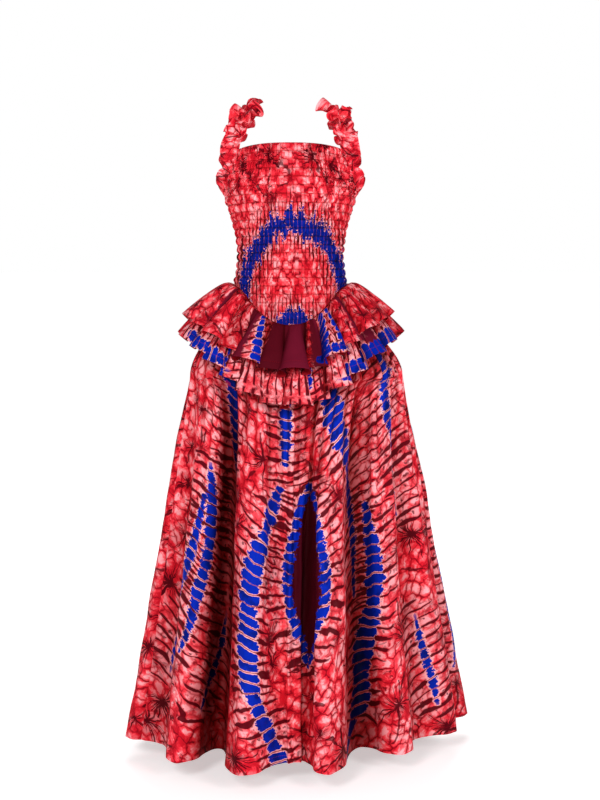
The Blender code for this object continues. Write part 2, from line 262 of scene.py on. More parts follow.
def plainLayers(points, offset, homeColumn=None):
    # what the shaders read at each point, where nothing is dyed, seamed or folded yet
    size = points.shape[:2]
    across = metresAcross(points, (size[1] - 1) / 2 if homeColumn is None else homeColumn)
    down = metresAlong(points)
    far = np.zeros(points.shape)
    far[..., 0] = farAway
    return {
        "cloth": np.stack([across + offset, down, 0 * down], -1),  # metres across and down the cloth
        "bandFirst": far,
        "bandSecond": far.copy(),
        "pool": np.full(size, -0.2),
        "edge": np.full(size, 1.0),
        # painted shade, none until a piece adds its folds and hollows
        "paintedShade": np.zeros(size),
        "calm": np.zeros(size),
    }


# Node helpers. Each works in the tree of the sockets that it is given.


def addNode(tree, kind, feeds, **settings):
    node = tree.nodes.new(kind)
    for label, value in settings.items():
        setattr(node, label, value)
    for label, value in feeds.items():
        if isinstance(value, bpy.types.NodeSocket):
            tree.links.new(value, node.inputs[label])
        else:
            node.inputs[label].default_value = value
    return node


def treeOf(values):
    return next(value.id_data for value in values if isinstance(value, bpy.types.NodeSocket))


def sums(operation, *values):
    return addNode(treeOf(values), "ShaderNodeMath", dict(enumerate(values)), operation=operation).outputs[0]


def times(first, *others):
    for other in others:
        first = sums("MULTIPLY", first, other)
    return first


def plus(first, second):
    return sums("ADD", first, second)


def minus(first, second):
    return sums("SUBTRACT", first, second)


def scaled(value, gain, start):
    return sums("MULTIPLY_ADD", value, gain, start)


def varied(start, value, middle, gain):
    # start, plus gain for each unit that the value lies above its middle
    return scaled(minus(value, middle), gain, start)


def between(value, low, high):
    # 0 at low, 1 at high, with soft ends
    feeds = {"Value": value, "From Min": low, "From Max": high}
    node = addNode(value.id_data, "ShaderNodeMapRange", feeds, interpolation_type="SMOOTHSTEP")
    return node.outputs["Result"]


def fading(value, low, high):
    return minus(1.0, between(value, low, high))


def mixed(factor, first, second, blend="MIX"):
    feeds = {0: factor, 6: first, 7: second}
    tree = treeOf(feeds.values())
    return addNode(tree, "ShaderNodeMix", feeds, data_type="RGBA", blend_type=blend).outputs[2]


def vectorSum(operation, first, second=None, output="Vector"):
    feeds = {0: first}
    if second is not None:
        feeds["Scale" if operation == "SCALE" else 1] = second
    return addNode(first.id_data, "ShaderNodeVectorMath", feeds, operation=operation).outputs[output]


def noise(vector, scale, detail=2.0, roughness=0.5, output="Fac"):
    feeds = {"Vector": vector, "Scale": scale, "Detail": detail, "Roughness": roughness}
    return addNode(vector.id_data, "ShaderNodeTexNoise", feeds).outputs[output]


def cells(vector, scale, feature, **feeds):
    feeds.update(Vector=vector, Scale=scale)
    settings = {"voronoi_dimensions": "2D", "feature": feature}
    return addNode(vector.id_data, "ShaderNodeTexVoronoi", feeds, **settings).outputs


def ownNumber(value, label="W", dimensions="1D"):
    # one fixed value from 0 to 1 for each whole number or place
    node = addNode(value.id_data, "ShaderNodeTexWhiteNoise", {label: value}, noise_dimensions=dimensions)
    return node.outputs["Value"]


def shifted(vector, scale, metres):
    # the same coordinates, pushed about unevenly by a few millimetres
    push = noise(vector, scale, 3.0, 0.55, "Color")
    centred = vectorSum("SUBTRACT", push, (0.5, 0.5, 0.5))
    return vectorSum("ADD", vector, vectorSum("SCALE", centred, metres))


def openGroup(name, takes, gives):
    # an input without a value is a vector, four numbers are a colour
    group = bpy.data.node_groups.new(name, "ShaderNodeTree")
    for label, value in takes.items():
        kind = "Vector" if value is None else "Color" if isinstance(value, tuple) else "Float"
        socket = group.interface.new_socket(name=label, in_out="INPUT", socket_type="NodeSocket" + kind)
        if value is not None:
            socket.default_value = value
    for label in gives:
        kind = "Color" if label == "Color" else "Float"
        group.interface.new_socket(name=label, in_out="OUTPUT", socket_type="NodeSocket" + kind)
    return group, group.nodes.new("NodeGroupInput").outputs


def closeGroup(group, results):
    ends = group.nodes.new("NodeGroupOutput").inputs
    for label, value in results.items():
        group.links.new(value, ends[label])
    return group


# The dyes and the print: mottled ground, tied stars, and blue bands with ribs across them.
dyes = {
    "pale": (0.98, 0.39, 0.42, 1),
    "light": (0.98, 0.125, 0.150, 1),
    "coral": (0.93, 0.040, 0.062, 1),
    "red": (0.58, 0.0075, 0.0190, 1),
    "vein": (0.21, 0.0015, 0.0080, 1),
    "maroon": (0.080, 0.0004, 0.0042, 1),
    "bleached": (0.98, 0.46, 0.47, 1),
    "ribPink": (0.96, 0.20, 0.23, 1),
    "blue": (0.0006, 0.017, 0.37, 1),
    "deepBlue": (0.0010, 0.005, 0.11, 1),
    "wine": (0.050, 0.0008, 0.0055, 1),
    "lightWine": (0.135, 0.0050, 0.019, 1),
}


def groundGroup():
    takes = {"Cloth": None, "Pale": dyes["pale"], "Light": dyes["light"], "Mid": dyes["coral"],
             "Deep": dyes["red"], "Stain": dyes["maroon"], "Blots": 36.0, "Redness": 0.0, "Stains": 0.2,
             "Vein Width": 0.07, "Vein Presence": 0.45}
    tree, given = openGroup("mottled dye", takes, ("Color", "Depth", "Veins"))
    wandering = shifted(given["Cloth"], 17.0, 0.040)
    crinkled = shifted(wandering, 70.0, 0.010)
    bubbles = cells(crinkled, given["Blots"], "SMOOTH_F1", Smoothness=0.35)["Distance"]
    small = cells(crinkled, 120.0, "F1")["Distance"]
    cellEdge = cells(crinkled, given["Blots"], "DISTANCE_TO_EDGE")["Distance"]
    streaks = noise(crinkled, 210.0, 2.0, 0.65)
    tone = varied(0.44, noise(wandering, 8.0, 3.0, 0.60), 0.5, 1.7)
    tone = varied(tone, bubbles, 0.36, 1.25)
    tone = varied(tone, small, 0.42, 0.50)
    tone = varied(tone, streaks, 0.5, 0.50)
    tone = scaled(between(noise(crinkled, 62.0), 0.56, 0.70), -0.42, tone)
    tone = plus(tone, given["Redness"])
    colour = given["Pale"]
    for low, high, label in ((-0.05, 0.30, "Light"), (0.26, 0.53, "Mid"), (0.50, 0.84, "Deep")):
        colour = mixed(between(tone, low, high), colour, given[label])
    # dark stains, each with a red rim
    blotches = varied(noise(crinkled, 15.0, 4.0, 0.62), streaks, 0.5, 0.22)
    limit = scaled(given["Stains"], -0.30, 0.70)
    rim = times(between(blotches, minus(limit, 0.07), limit), 0.7)
    colour = mixed(rim, colour, given["Deep"])
    colour = mixed(between(blotches, limit, plus(limit, 0.05)), colour, given["Stain"])
    # thin lines where the dye crept along the borders of the blots
    here = noise(given["Cloth"], 21.0, 3.0, 0.65)
    width = times(given["Vein Width"], scaled(here, 3.4, -0.95))
    line = fading(cellEdge, times(width, 0.35), width)
    shown = between(here, minus(given["Vein Presence"], 0.06), plus(given["Vein Presence"], 0.06))
    seep = fading(cellEdge, times(width, 0.8), times(width, 3.2))
    colour = mixed(times(seep, shown, 0.60), colour, given["Deep"])
    return closeGroup(tree, {"Color": colour, "Depth": tone, "Veins": times(line, shown)})


def starGroup():
    # tied knots: a dark burst on some cell centres, and thin arcs from each centre to its neighbours
    takes = {"Cloth": None, "Cells": 11.0, "Size": 0.024, "Rarity": 0.35, "Arc": 0.0011}
    tree, given = openGroup("tied stars", takes, ("Mask", "Halo", "Arcs"))
    warped = shifted(given["Cloth"], 11.0, 0.060)
    near, other = (cells(warped, given["Cells"], feature, Randomness=0.9) for feature in ("F1", "F2"))
    inPlane = (1.0, 1.0, 0.0)
    here = vectorSum("MULTIPLY", vectorSum("SUBTRACT", warped, near["Position"]), inPlane)
    link = vectorSum("MULTIPLY", vectorSum("SUBTRACT", other["Position"], near["Position"]), inPlane)
    toward = vectorSum("NORMALIZE", link)
    off = vectorSum("LENGTH", vectorSum("CROSS_PRODUCT", here, toward), output="Value")
    ahead = vectorSum("DOT_PRODUCT", here, toward, "Value")
    radius = vectorSum("LENGTH", here, output="Value")
    pair = vectorSum("SCALE", vectorSum("ADD", near["Position"], other["Position"]), 37.0)
    chance = ownNumber(pair, "Vector", "2D")
    thick = scaled(noise(given["Cloth"], 55.0, 2.0, 0.6), 2.0, -0.20)
    thick = times(sums("MAXIMUM", thick, 0.30), given["Arc"])
    arc = fading(off, thick, times(thick, 1.9))
    arc = times(arc, sums("GREATER_THAN", ahead, 0.0), sums("LESS_THAN", chance, 0.62))
    # each burst has its own spikes and its own size
    around = vectorSum("ADD", vectorSum("NORMALIZE", here), vectorSum("SCALE", near["Color"], 9.0))
    spikes = noise(around, 8.0, 1.5, 0.8)
    parts = addNode(tree, "ShaderNodeSeparateColor", {"Color": near["Color"]}).outputs
    chosen = between(parts[0], given["Rarity"], plus(given["Rarity"], 0.20))
    reach = times(given["Size"], scaled(parts[1], 0.75, 0.45), chosen)
    sharp = sums("POWER", sums("MAXIMUM", scaled(spikes, 2.35, -0.60), 0.0), 3.0)
    spread = times(reach, scaled(sharp, 1.5, 0.14))
    mask = fading(radius, times(spread, 0.80), sums("MAXIMUM", spread, 0.0004))
    halo = fading(radius, times(reach, 0.5), times(reach, 1.7))
    return closeGroup(tree, {"Mask": times(mask, chosen), "Halo": times(halo, chosen), "Arcs": arc})


def bandGroup():
    takes = {"Cloth": None, "Band": None, "Pitch": 0.024, "Reach": 0.12, "Ragged": 0.35, "Gap": 0.22}
    gives = ("Blue", "Outline", "Thread", "Rib", "Field", "Spots", "Seep")
    tree, given = openGroup("dyed band", takes, gives)
    cloth = given["Cloth"]
    away, run, half = addNode(tree, "ShaderNodeSeparateXYZ", {"Vector": given["Band"]}).outputs
    jag = noise(cloth, 150.0, 2.0, 0.6)
    along = varied(run, noise(cloth, 9.0), 0.5, 0.030)
    along = varied(along, noise(cloth, 42.0), 0.5, 0.006)
    phase = sums("DIVIDE", along, given["Pitch"])
    inCell = sums("ABSOLUTE", minus(sums("FRACT", phase), 0.5))
    toRib = times(inCell, 2.0)  # 0 in the middle of a blot, 1 on the line between two
    ribOwn = ownNumber(sums("FLOOR", plus(phase, 0.5)))
    swell = scaled(ownNumber(sums("FLOOR", phase)), 0.42, 0.88)
    rounded = minus(1.0, times(sums("POWER", toRib, 2.5), 0.40))
    rag = times(minus(jag, 0.5), times(given["Ragged"], 0.060))
    edge = plus(times(half, swell, rounded), times(rag, between(half, 0.0, 0.012)))
    present = between(half, 0.001, 0.005)
    inside = times(fading(away, minus(edge, 0.0008), plus(edge, 0.0008)), present)
    # the gap between two blots is pale, with a thin dark line down its middle
    gapWidth = times(given["Gap"], scaled(ribOwn, 0.9, 0.45))
    gapEdge = varied(minus(1.0, gapWidth), jag, 0.5, 0.30)
    blue = times(inside, fading(toRib, minus(gapEdge, 0.03), plus(gapEdge, 0.03)))
    wider = fading(away, plus(edge, 0.0015), plus(edge, 0.0060))
    thread = times(between(toRib, 0.88, 0.93), wider, present)
    # dark ribs run on beside the band, with red that crept out of them and spots between them
    field = fading(away, times(given["Reach"], 0.45), given["Reach"])
    patchy = noise(cloth, 24.0, 3.0, 0.6)
    ribWidth = times(scaled(ribOwn, 0.30, 0.15), scaled(patchy, 2.6, -0.30))
    ribWidth = sums("MAXIMUM", times(ribWidth, scaled(field, 0.6, 0.4)), 0.115)
    ribEdge = minus(1.0, ribWidth)
    beside = minus(1.0, wider)
    rib = times(between(toRib, minus(ribEdge, 0.05), plus(ribEdge, 0.04)), beside, between(field, 0.02, 0.30))
    seep = times(between(toRib, minus(ribEdge, 0.30), ribEdge), beside, between(field, 0.02, 0.50))
    dots = times(between(noise(cloth, 70.0, 1.0), 0.60, 0.65), fading(toRib, 0.45, 0.75))
    spots = times(dots, between(away, plus(edge, 0.006), plus(edge, 0.014)), field)
    results = (blue, times(wider, present), thread, rib, field, spots, seep)
    return closeGroup(tree, dict(zip(gives, results)))


def weaveGroup():
    takes = {"Cloth": None, "Threads": 1100.0, "Creasing": 1.0}
    tree, given = openGroup("cotton weave", takes, ("Height", "Shade"))
    place = addNode(tree, "ShaderNodeSeparateXYZ", {"Vector": given["Cloth"]}).outputs
    warp, weft = (sums("SINE", times(place[axis], given["Threads"])) for axis in (0, 1))
    threads = times(warp, weft)
    rumple = noise(given["Cloth"], 16.0, 4.0, 0.55)
    fine = noise(given["Cloth"], 60.0, 3.0, 0.6)
    height = times(scaled(fine, 0.35, rumple), given["Creasing"])
    return closeGroup(tree, {"Height": scaled(threads, 0.012, height), "Shade": scaled(threads, 0.035, 0.97)})


def stitchGroup():
    takes = {"Edge": 1.0, "Run": 0.0, "Line": 0.018, "Stitch": 0.0045}
    tree, given = openGroup("hem stitching", takes, ("Thread", "Height"))
    offLine = sums("ABSOLUTE", minus(given["Edge"], given["Line"]))
    phase = sums("FRACT", sums("DIVIDE", given["Run"], given["Stitch"]))
    dash = between(sums("ABSOLUTE", minus(phase, 0.5)), 0.20, 0.10)
    groove = fading(offLine, 0.0, 0.0035)
    doubled = fading(given["Edge"], given["Line"], plus(given["Line"], 0.0022))
    thread = times(fading(offLine, 0.0004, 0.0012), dash)
    return closeGroup(tree, {"Thread": thread, "Height": minus(doubled, times(groove, 0.8))})


groups = {
    "ground": groundGroup(),
    "star": starGroup(),
    "band": bandGroup(),
    "weave": weaveGroup(),
    "stitch": stitchGroup(),
}
print("print and weave groups made")

commonLook = {"besideBands": -0.20, "blueDepthAndShade": 0.0, "arc": 0.0024, "blots": 36.0, "veinWidth": 0.085,
              "veinPresence": 0.46, "creasing": 1.0, "pool": "wine", "roughness": 0.62, "specular": 0.035}
clothLooks = {
    "skirt": {"besideBands": -0.27, "blueDepthAndShade": 0.05, "stains": 0.18, "redness": -0.10,
              "pitch": 0.0250, "reach": 0.085, "ragged": 0.46, "gap": 0.19,
              "starCells": 10.5, "starSize": 0.046, "starRarity": 0.16, "veinPresence": 0.44, "fold": 0.0016},
    "peplum": {"besideBands": -0.36, "stains": 0.46, "redness": -0.06,
               "pitch": 0.0200, "reach": 0.070, "ragged": 0.30, "gap": 0.14,
               "starCells": 14.0, "starSize": 0.030, "starRarity": 0.30, "fold": 0.0014, "pool": "lightWine"},
    # the bodice's blue is darkened further, as painted shade from the slits between the gathers
    "bodice": {"besideBands": -0.08, "blueDepthAndShade": 0.40, "arc": 0.0034, "stains": 0.24, "blots": 34.0,
               "redness": -0.07, "pitch": 0.0150, "reach": 0.060, "ragged": 0.8, "gap": 0.05,
               "starCells": 12.5, "starSize": 0.044, "starRarity": 0.02,
               "veinWidth": 0.09, "creasing": 0.6, "fold": 0.0010},
    "strap": {"stains": 0.26, "blots": 38.0, "redness": 0.00, "pitch": 0.02, "reach": 0.01, "ragged": 0.3,
              "gap": 0.1, "starCells": 16.0, "starSize": 0.026, "starRarity": 0.35,
              "creasing": 0.8, "fold": 0.0012},
}


def printedCotton(name, look, wrongSide):
    cloth = bpy.data.materials.new(name)
    cloth.use_nodes = True
    tree = cloth.node_tree
    shader = tree.nodes["Principled BSDF"]

    def layer(label, output="Fac"):
        settings = {"attribute_name": label, "attribute_type": "GEOMETRY"}
        return addNode(tree, "ShaderNodeAttribute", {}, **settings).outputs[output]

    def grouped(label, feeds):
        return addNode(tree, "ShaderNodeGroup", feeds, node_tree=groups[label]).outputs

    where = layer("cloth", "Vector")
    calm = layer("calm")  # 1 where no stars or stains were tied into the cloth
    stars = grouped("star", {"Cloth": where, "Cells": look["starCells"], "Size": look["starSize"],
                             "Rarity": look["starRarity"], "Arc": look["arc"]})
    bands = [grouped("band", {"Cloth": where, "Band": layer(label, "Vector"), "Pitch": look["pitch"],
                              "Reach": look["reach"], "Ragged": look["ragged"], "Gap": look["gap"]})
             for label in ("bandFirst", "bandSecond")]

    def either(label):
        return sums("MAXIMUM", bands[0][label], bands[1][label])

    blue, field = either("Blue"), either("Field")
    ground = grouped("ground", {"Cloth": where, "Pale": dyes["pale"], "Light": dyes["light"],
                                "Mid": dyes["coral"], "Deep": dyes["red"], "Stain": dyes["maroon"],
                                "Blots": look["blots"],
                                "Redness": scaled(field, look["besideBands"], look["redness"]),
                                "Stains": scaled(calm, -look["stains"], look["stains"]),
                                "Vein Width": look["veinWidth"], "Vein Presence": look["veinPresence"]})
    clearOfBands = minus(1.0, times(field, 0.60))
    tied = times(clearOfBands, minus(1.0, calm))
    colour = ground["Color"]
    # the layers of dye, from the lowest to the topmost
    for mask, strength, dye in (
        (field, 0.16, "ribPink"),
        (times(ground["Veins"], clearOfBands), 0.92, "vein"),
        (times(stars["Halo"], tied), 0.60, "red"),
        (times(stars["Arcs"], tied), 0.85, "maroon"),
        (times(stars["Mask"], tied), 1.0, "maroon"),
        (either("Seep"), 0.55, "red"),
        (either("Spots"), 0.85, "maroon"),
        (either("Outline"), 0.75, "bleached"),
        (either("Thread"), 0.85, "vein"),
        (either("Rib"), 0.96, "maroon"),
    ):
        colour = mixed(times(mask, strength), colour, dyes[dye])
    wavering = varied(layer("pool"), noise(where, 75.0, 3.0, 0.7), 0.5, 0.045)
    colour = mixed(between(wavering, 0.001, 0.012), colour, dyes[look["pool"]])
    # darker blue in random patches, and on the bodice also evenly darker as painted shade
    depth = scaled(between(noise(where, 24.0, 3.0, 0.6), 0.48, 0.68), 0.75, look["blueDepthAndShade"])
    colour = mixed(blue, colour, mixed(depth, dyes["blue"], dyes["deepBlue"]))

    weave = grouped("weave", {"Cloth": where, "Creasing": look["creasing"]})
    run = addNode(tree, "ShaderNodeSeparateXYZ", {"Vector": where}).outputs[0]
    hem = grouped("stitch", {"Edge": layer("edge"), "Run": run})
    colour = mixed(times(hem["Thread"], 0.35), colour, dyes["red"])
    # painted shade: this layer darkens the printed colour where folds, slits, pleats and the peplum above
    # would shade the cloth, green and blue more than red
    shaded = minus(1.0, times(layer("paintedShade"), 0.80))
    cooler = sums("POWER", shaded, 1.8)  # cloth reflects on cloth in a fold, so its shade stays warm
    shades = {0: times(shaded, weave["Shade"]), 1: cooler, 2: cooler}
    colour = mixed(1.0, colour, addNode(tree, "ShaderNodeCombineColor", shades).outputs[0], "MULTIPLY")
    if wrongSide:
        colour = mixed(0.35, colour, dyes["red"])  # the print is duller there
    height = scaled(hem["Height"], 0.35, weave["Height"])
    bump = addNode(tree, "ShaderNodeBump", {"Strength": 0.9, "Distance": look["fold"], "Height": height})
    rough = scaled(blue, -0.06, scaled(ground["Depth"], 0.10, look["roughness"]))
    tree.links.new(colour, shader.inputs["Base Color"])
    tree.links.new(rough, shader.inputs["Roughness"])
    tree.links.new(bump.outputs["Normal"], shader.inputs["Normal"])
    shader.inputs["Specular IOR Level"].default_value = look["specular"]
    return cloth


cloths = {}
for label, own in clothLooks.items():
    look = {**commonLook, **own}
    cloths[label] = (printedCotton(label + " cotton", look, False),
                     printedCotton(label + " cotton wrong side", look, True))
print("cloths made")


# Bodice: smocked all over, rows of elastic thread with the cloth puffed between them.
bodicePlan = {
    # "cloth" is where on the printed cloth each panel was cut; "cut" is metres across, metres down
    # and square metres
    "front": {"middle": 0.0, "top": -0.060, "cornerDrop": 0.018, "topHalfAngle": 54.0, "armhole": 0.34,
              "threadRows": 21, "threadPitch": 0.0192, "cloth": 0.0, "cut": (0.60, 0.42, 0.210)},
    "back": {"middle": 180.0, "top": -0.100, "cornerDrop": 0.006, "topHalfAngle": 56.0, "armhole": 0.29,
             "threadRows": 18, "threadPitch": 0.0178, "cloth": 7.3, "cut": (0.56, 0.35, 0.165)},
    "armholeCurve": 1.8,
    "gathers": 74,  # from one side seam to the other
    "columns": 400,
    "rowsPerThread": 10,
    "wall": 0.0020,
    "puff": 0.0048,
    "crestPower": 0.62,  # below 1, gathers and puffs are boxy
    "puffPower": 0.55,
    "fullness": 1.8,  # metres of cloth gathered into one
    "calmBelow": -0.150,  # no stars were tied below this height
    "calmFade": 0.075,
    "threadShade": 0.62,
    "seamShade": 0.80,
    "slitShade": 1.05,
    "calmShade": 0.14,
    "innerStep": 20,  # rows of the outer face to one of the inner face
}

# The arches of blue dye on the bodice: centre, half width and rise of each, in metres.
bodiceArches = {
    "front": {"bandFirst": {"x": 0.007, "z": -0.432, "across": 0.112, "up": 0.192, "half": 0.016,
                            "crown": 0.005, "jitter": 1.0},
              "bandSecond": {"x": 0.008, "z": -0.484, "across": 0.026, "up": 0.026, "half": 0.020,
                             "crown": 0.0, "jitter": 0.5}},
    "back": {"bandFirst": {"x": 0.000, "z": -0.415, "across": 0.098, "up": 0.180, "half": 0.014,
                           "crown": 0.010, "jitter": 1.0}},
}


def panelPoints(side, down, across):
    # the plain panel: down from 0 at its top edge to 1 at the seam, across from -1 to 1
    plan = bodicePlan[side]
    full = 90.0 - math.degrees(figure["seamGap"] / 2 / ringSize("halfWidth", figure["seamSide"]))
    opened = np.clip(down / plan["armhole"], 0, 1) ** bodicePlan["armholeCurve"]
    angle = plan["middle"] + across * (plan["topHalfAngle"] + (full - plan["topHalfAngle"]) * opened)
    top = plan["top"] - plan["cornerDrop"] * across ** 2
    height = top + (seamHeight(angle) + figure["seamGap"] / 2 - top) * down
    return bodyPoint(angle, height)


def archLayers(side, plain, rowNumber, gatherNumber):
    # each puff shows a slightly different slice of the print
    jitter = 0.026 * (scattered(gatherNumber, 7.0) - 0.5)
    jitter = jitter + 0.012 * (scattered(gatherNumber + 57 * rowNumber, 5.0) - 0.5)
    found = {}
    for label, arch in bodiceArches[side].items():
        x = (plain[..., 0] - arch["x"]) / arch["across"]
        z = (plain[..., 2] + jitter * arch["jitter"] - arch["z"]) / arch["up"]
        away = np.abs((np.sqrt(x ** 2 + z ** 2) - 1) * ((arch["across"] + arch["up"]) / 2))
        away = np.where(z < -0.2, away + (-0.2 - z) * 0.2, away)
        half = (arch["half"] + arch["crown"] * np.clip(z, 0, 1) ** 2) * eased((z + 0.45) / 0.35)
        found[label] = np.stack([away, plain[..., 0] * bodicePlan["fullness"], half], -1)
    return found


def smockedPanel(side):
    plan = bodicePlan[side]
    threads = plan["threadRows"]
    rows = threads * bodicePlan["rowsPerThread"] + 1
    across, down = np.meshgrid(np.linspace(-1, 1, bodicePlan["columns"] + 1), np.linspace(0, 1, rows))
    plain = panelPoints(side, down, across)
    toSeam = (1 - down) * threads
    # the threads run level round the body, and the dipping seam cuts across the lowest of them
    top = plan["top"] - plan["cornerDrop"] * across ** 2 * (1 - down)
    inRow = (top - plain[..., 2]) / plan["threadPitch"]
    rowNumber = np.maximum(np.floor(inRow), 0)
    local = inRow - rowNumber
    # the gathers wander a little and differ from row to row
    spread = across * bodicePlan["gathers"] / 2 + 0.9 * wobble(across * 11.0, 1.0)
    spread = spread + 0.25 * wobble(across * 40.0, 2.0)
    spread = spread + 0.42 * wobble(rowNumber * 1.7 + across * 6.0, 3.0)
    spread = spread + 0.10 * wobble(local * 5.0 + across * 60.0, 4.0)
    gatherNumber = np.floor(spread)
    inGather = spread - gatherNumber
    crest = np.sin(np.pi * inGather) ** bodicePlan["crestPower"]
    puff = np.sin(np.pi * np.clip(local, 0, 1)) ** bodicePlan["puffPower"]
    own = 0.55 + 0.75 * scattered(gatherNumber + 131 * rowNumber, 1.0)
    edgeFade = eased((1 - np.abs(across)) / 0.07) * eased(toSeam * 1.3)
    relief = bodicePlan["puff"] * puff * (0.30 + 0.70 * crest) * own * edgeFade
    outer = plain + gridNormals(plain) * (bodicePlan["wall"] + relief)[..., None]

    layers = plainLayers(plain, plan["cloth"])
    flatAcross = (gatherNumber + 0.5 + (inGather - 0.5) * 0.55 - 0.4) / bodicePlan["gathers"]
    gathered = flatAcross * metresAlong(plain, 1)[:, -1:] * bodicePlan["fullness"]
    layers["cloth"][..., 0] = gathered + plan["cloth"] + 0.012 * scattered(rowNumber, 6.0)
    layers["cloth"][..., 1] += 0.016 * (scattered(gatherNumber, 3.0) - 0.5)
    below = bodicePlan["calmBelow"] - plain[..., 2] + 0.035 * wobble(plain[..., 0] * 40, 3.0)
    layers["calm"] = 0.92 * eased(below / bodicePlan["calmFade"])
    # painted shade along the threads and where the seam pulls in
    pinchShade = (1 - np.clip(np.minimum(local, 1 - local) / 0.11, 0, 1)) * eased(toSeam)
    atSeam = bodicePlan["seamShade"] * (1 - eased(toSeam * 1.2))
    pinchShade = np.maximum(pinchShade * (down > 0.5 / threads), atSeam)
    # some gathers close into long slits that run through many rows, others stay shallow; the slits are
    # darkened with painted shade
    slit = 0.20 + 1.20 * scattered(gatherNumber, 9.0) ** 3.0
    slit = slit + 0.40 * (scattered(gatherNumber + 17 * rowNumber, 8.0) - 0.4)
    valley = np.clip(1 - crest / 0.74, 0, 1) * (0.5 + 0.5 * puff) * np.clip(slit, 0, 1.3)
    paintedShade = bodicePlan["threadShade"] * pinchShade + bodicePlan["slitShade"] * valley
    # the calm lower part is painted a little darker too, as shade between the gathers
    paintedShade = np.clip(paintedShade, 0, 1) * edgeFade + bodicePlan["calmShade"] * layers["calm"]
    layers["paintedShade"] = np.clip(paintedShade, 0, 1)
    layers.update(archLayers(side, plain, rowNumber, gatherNumber))
    sewnPiece("smocked_bodice_" + side, "bodice", "bodice_" + side, outer, plain, bodicePlan["innerStep"],
              layers)


for side in ("front", "back"):
    smockedPanel(side)
print("bodice smocked")


# Skirt: hanging folds from the basque seam to the hem. Folds are numbered round it, two numbers
# to a fold, a crest at each even number and a valley at each odd one.
skirtPlan = {
    "hip": {"x": 0.014, "y": 0.012, "halfWidth": 0.243, "front": 0.166, "back": 0.190},
    "hem": {"x": 0.018, "y": 0.045, "halfWidth": 0.375, "front": 0.270, "back": 0.330},
    "hipHeight": -0.600,
    "hemHeight": -1.480,
    "foldGrowth": 0.52,
    "upperGather": 0.007,
    "names": ("angle", "crestX", "crestY", "valleyX", "valleyY"),
    "folds": (
        (-99.0, -0.400, 0.046, -0.302, -0.030),
        (-56.0, -0.262, -0.190, -0.165, -0.068),
        (-25.0, -0.120, -0.284, -0.026, -0.190),
        (2.0, 0.008, -0.184, 0.034, -0.172),
        (26.0, 0.092, -0.278, 0.160, -0.058),
        (58.0, 0.262, -0.118, 0.300, 0.020),
        (84.0, 0.408, 0.092, 0.362, 0.160),
        (108.0, 0.446, 0.262, 0.340, 0.250),
        (134.0, 0.320, 0.365, 0.235, 0.290),
        (152.0, 0.190, 0.400, 0.125, 0.320),
        (170.0, 0.062, 0.415, 0.010, 0.325),
        (188.0, -0.052, 0.412, -0.110, 0.320),
        (207.0, -0.170, 0.392, -0.215, 0.295),
        (227.0, -0.292, 0.330, -0.300, 0.225),
        (249.0, -0.378, 0.210, -0.322, 0.130),
    ),
    "seams": {"front": (0.5, 12.5), "back": (12.5, 30.5)},
    "printCentre": {"front": 7.0, "back": 21.5},
    "cloth": {"front": 0.0, "back": 3.1},
    "stepsPerFold": {"front": 24, "back": 18},
    "rows": 190,
    "wall": 0.0016,
    "rowCrowding": 0.92,  # below 1, rows lie closer together towards the hem
    "innerStep": 4,
    "shoulder": 0.009,
    "pleat": 0.0048,
    "foldShade": 2.3,
    "pleatShade": 0.55,
    "tierShade": 0.75,  # just under the peplum
    "tierShadeReach": 0.060,
    "grainRow": 0.62,  # share of the way down where the print has its own width
    "grainHold": 0.75,  # how far the other rows keep to that width
    # each flared panel as cut: metres across its hem, metres long, square metres
    "cuts": {"front": (1.70, 1.12, 1.50), "back": (2.00, 1.15, 1.82)},
}

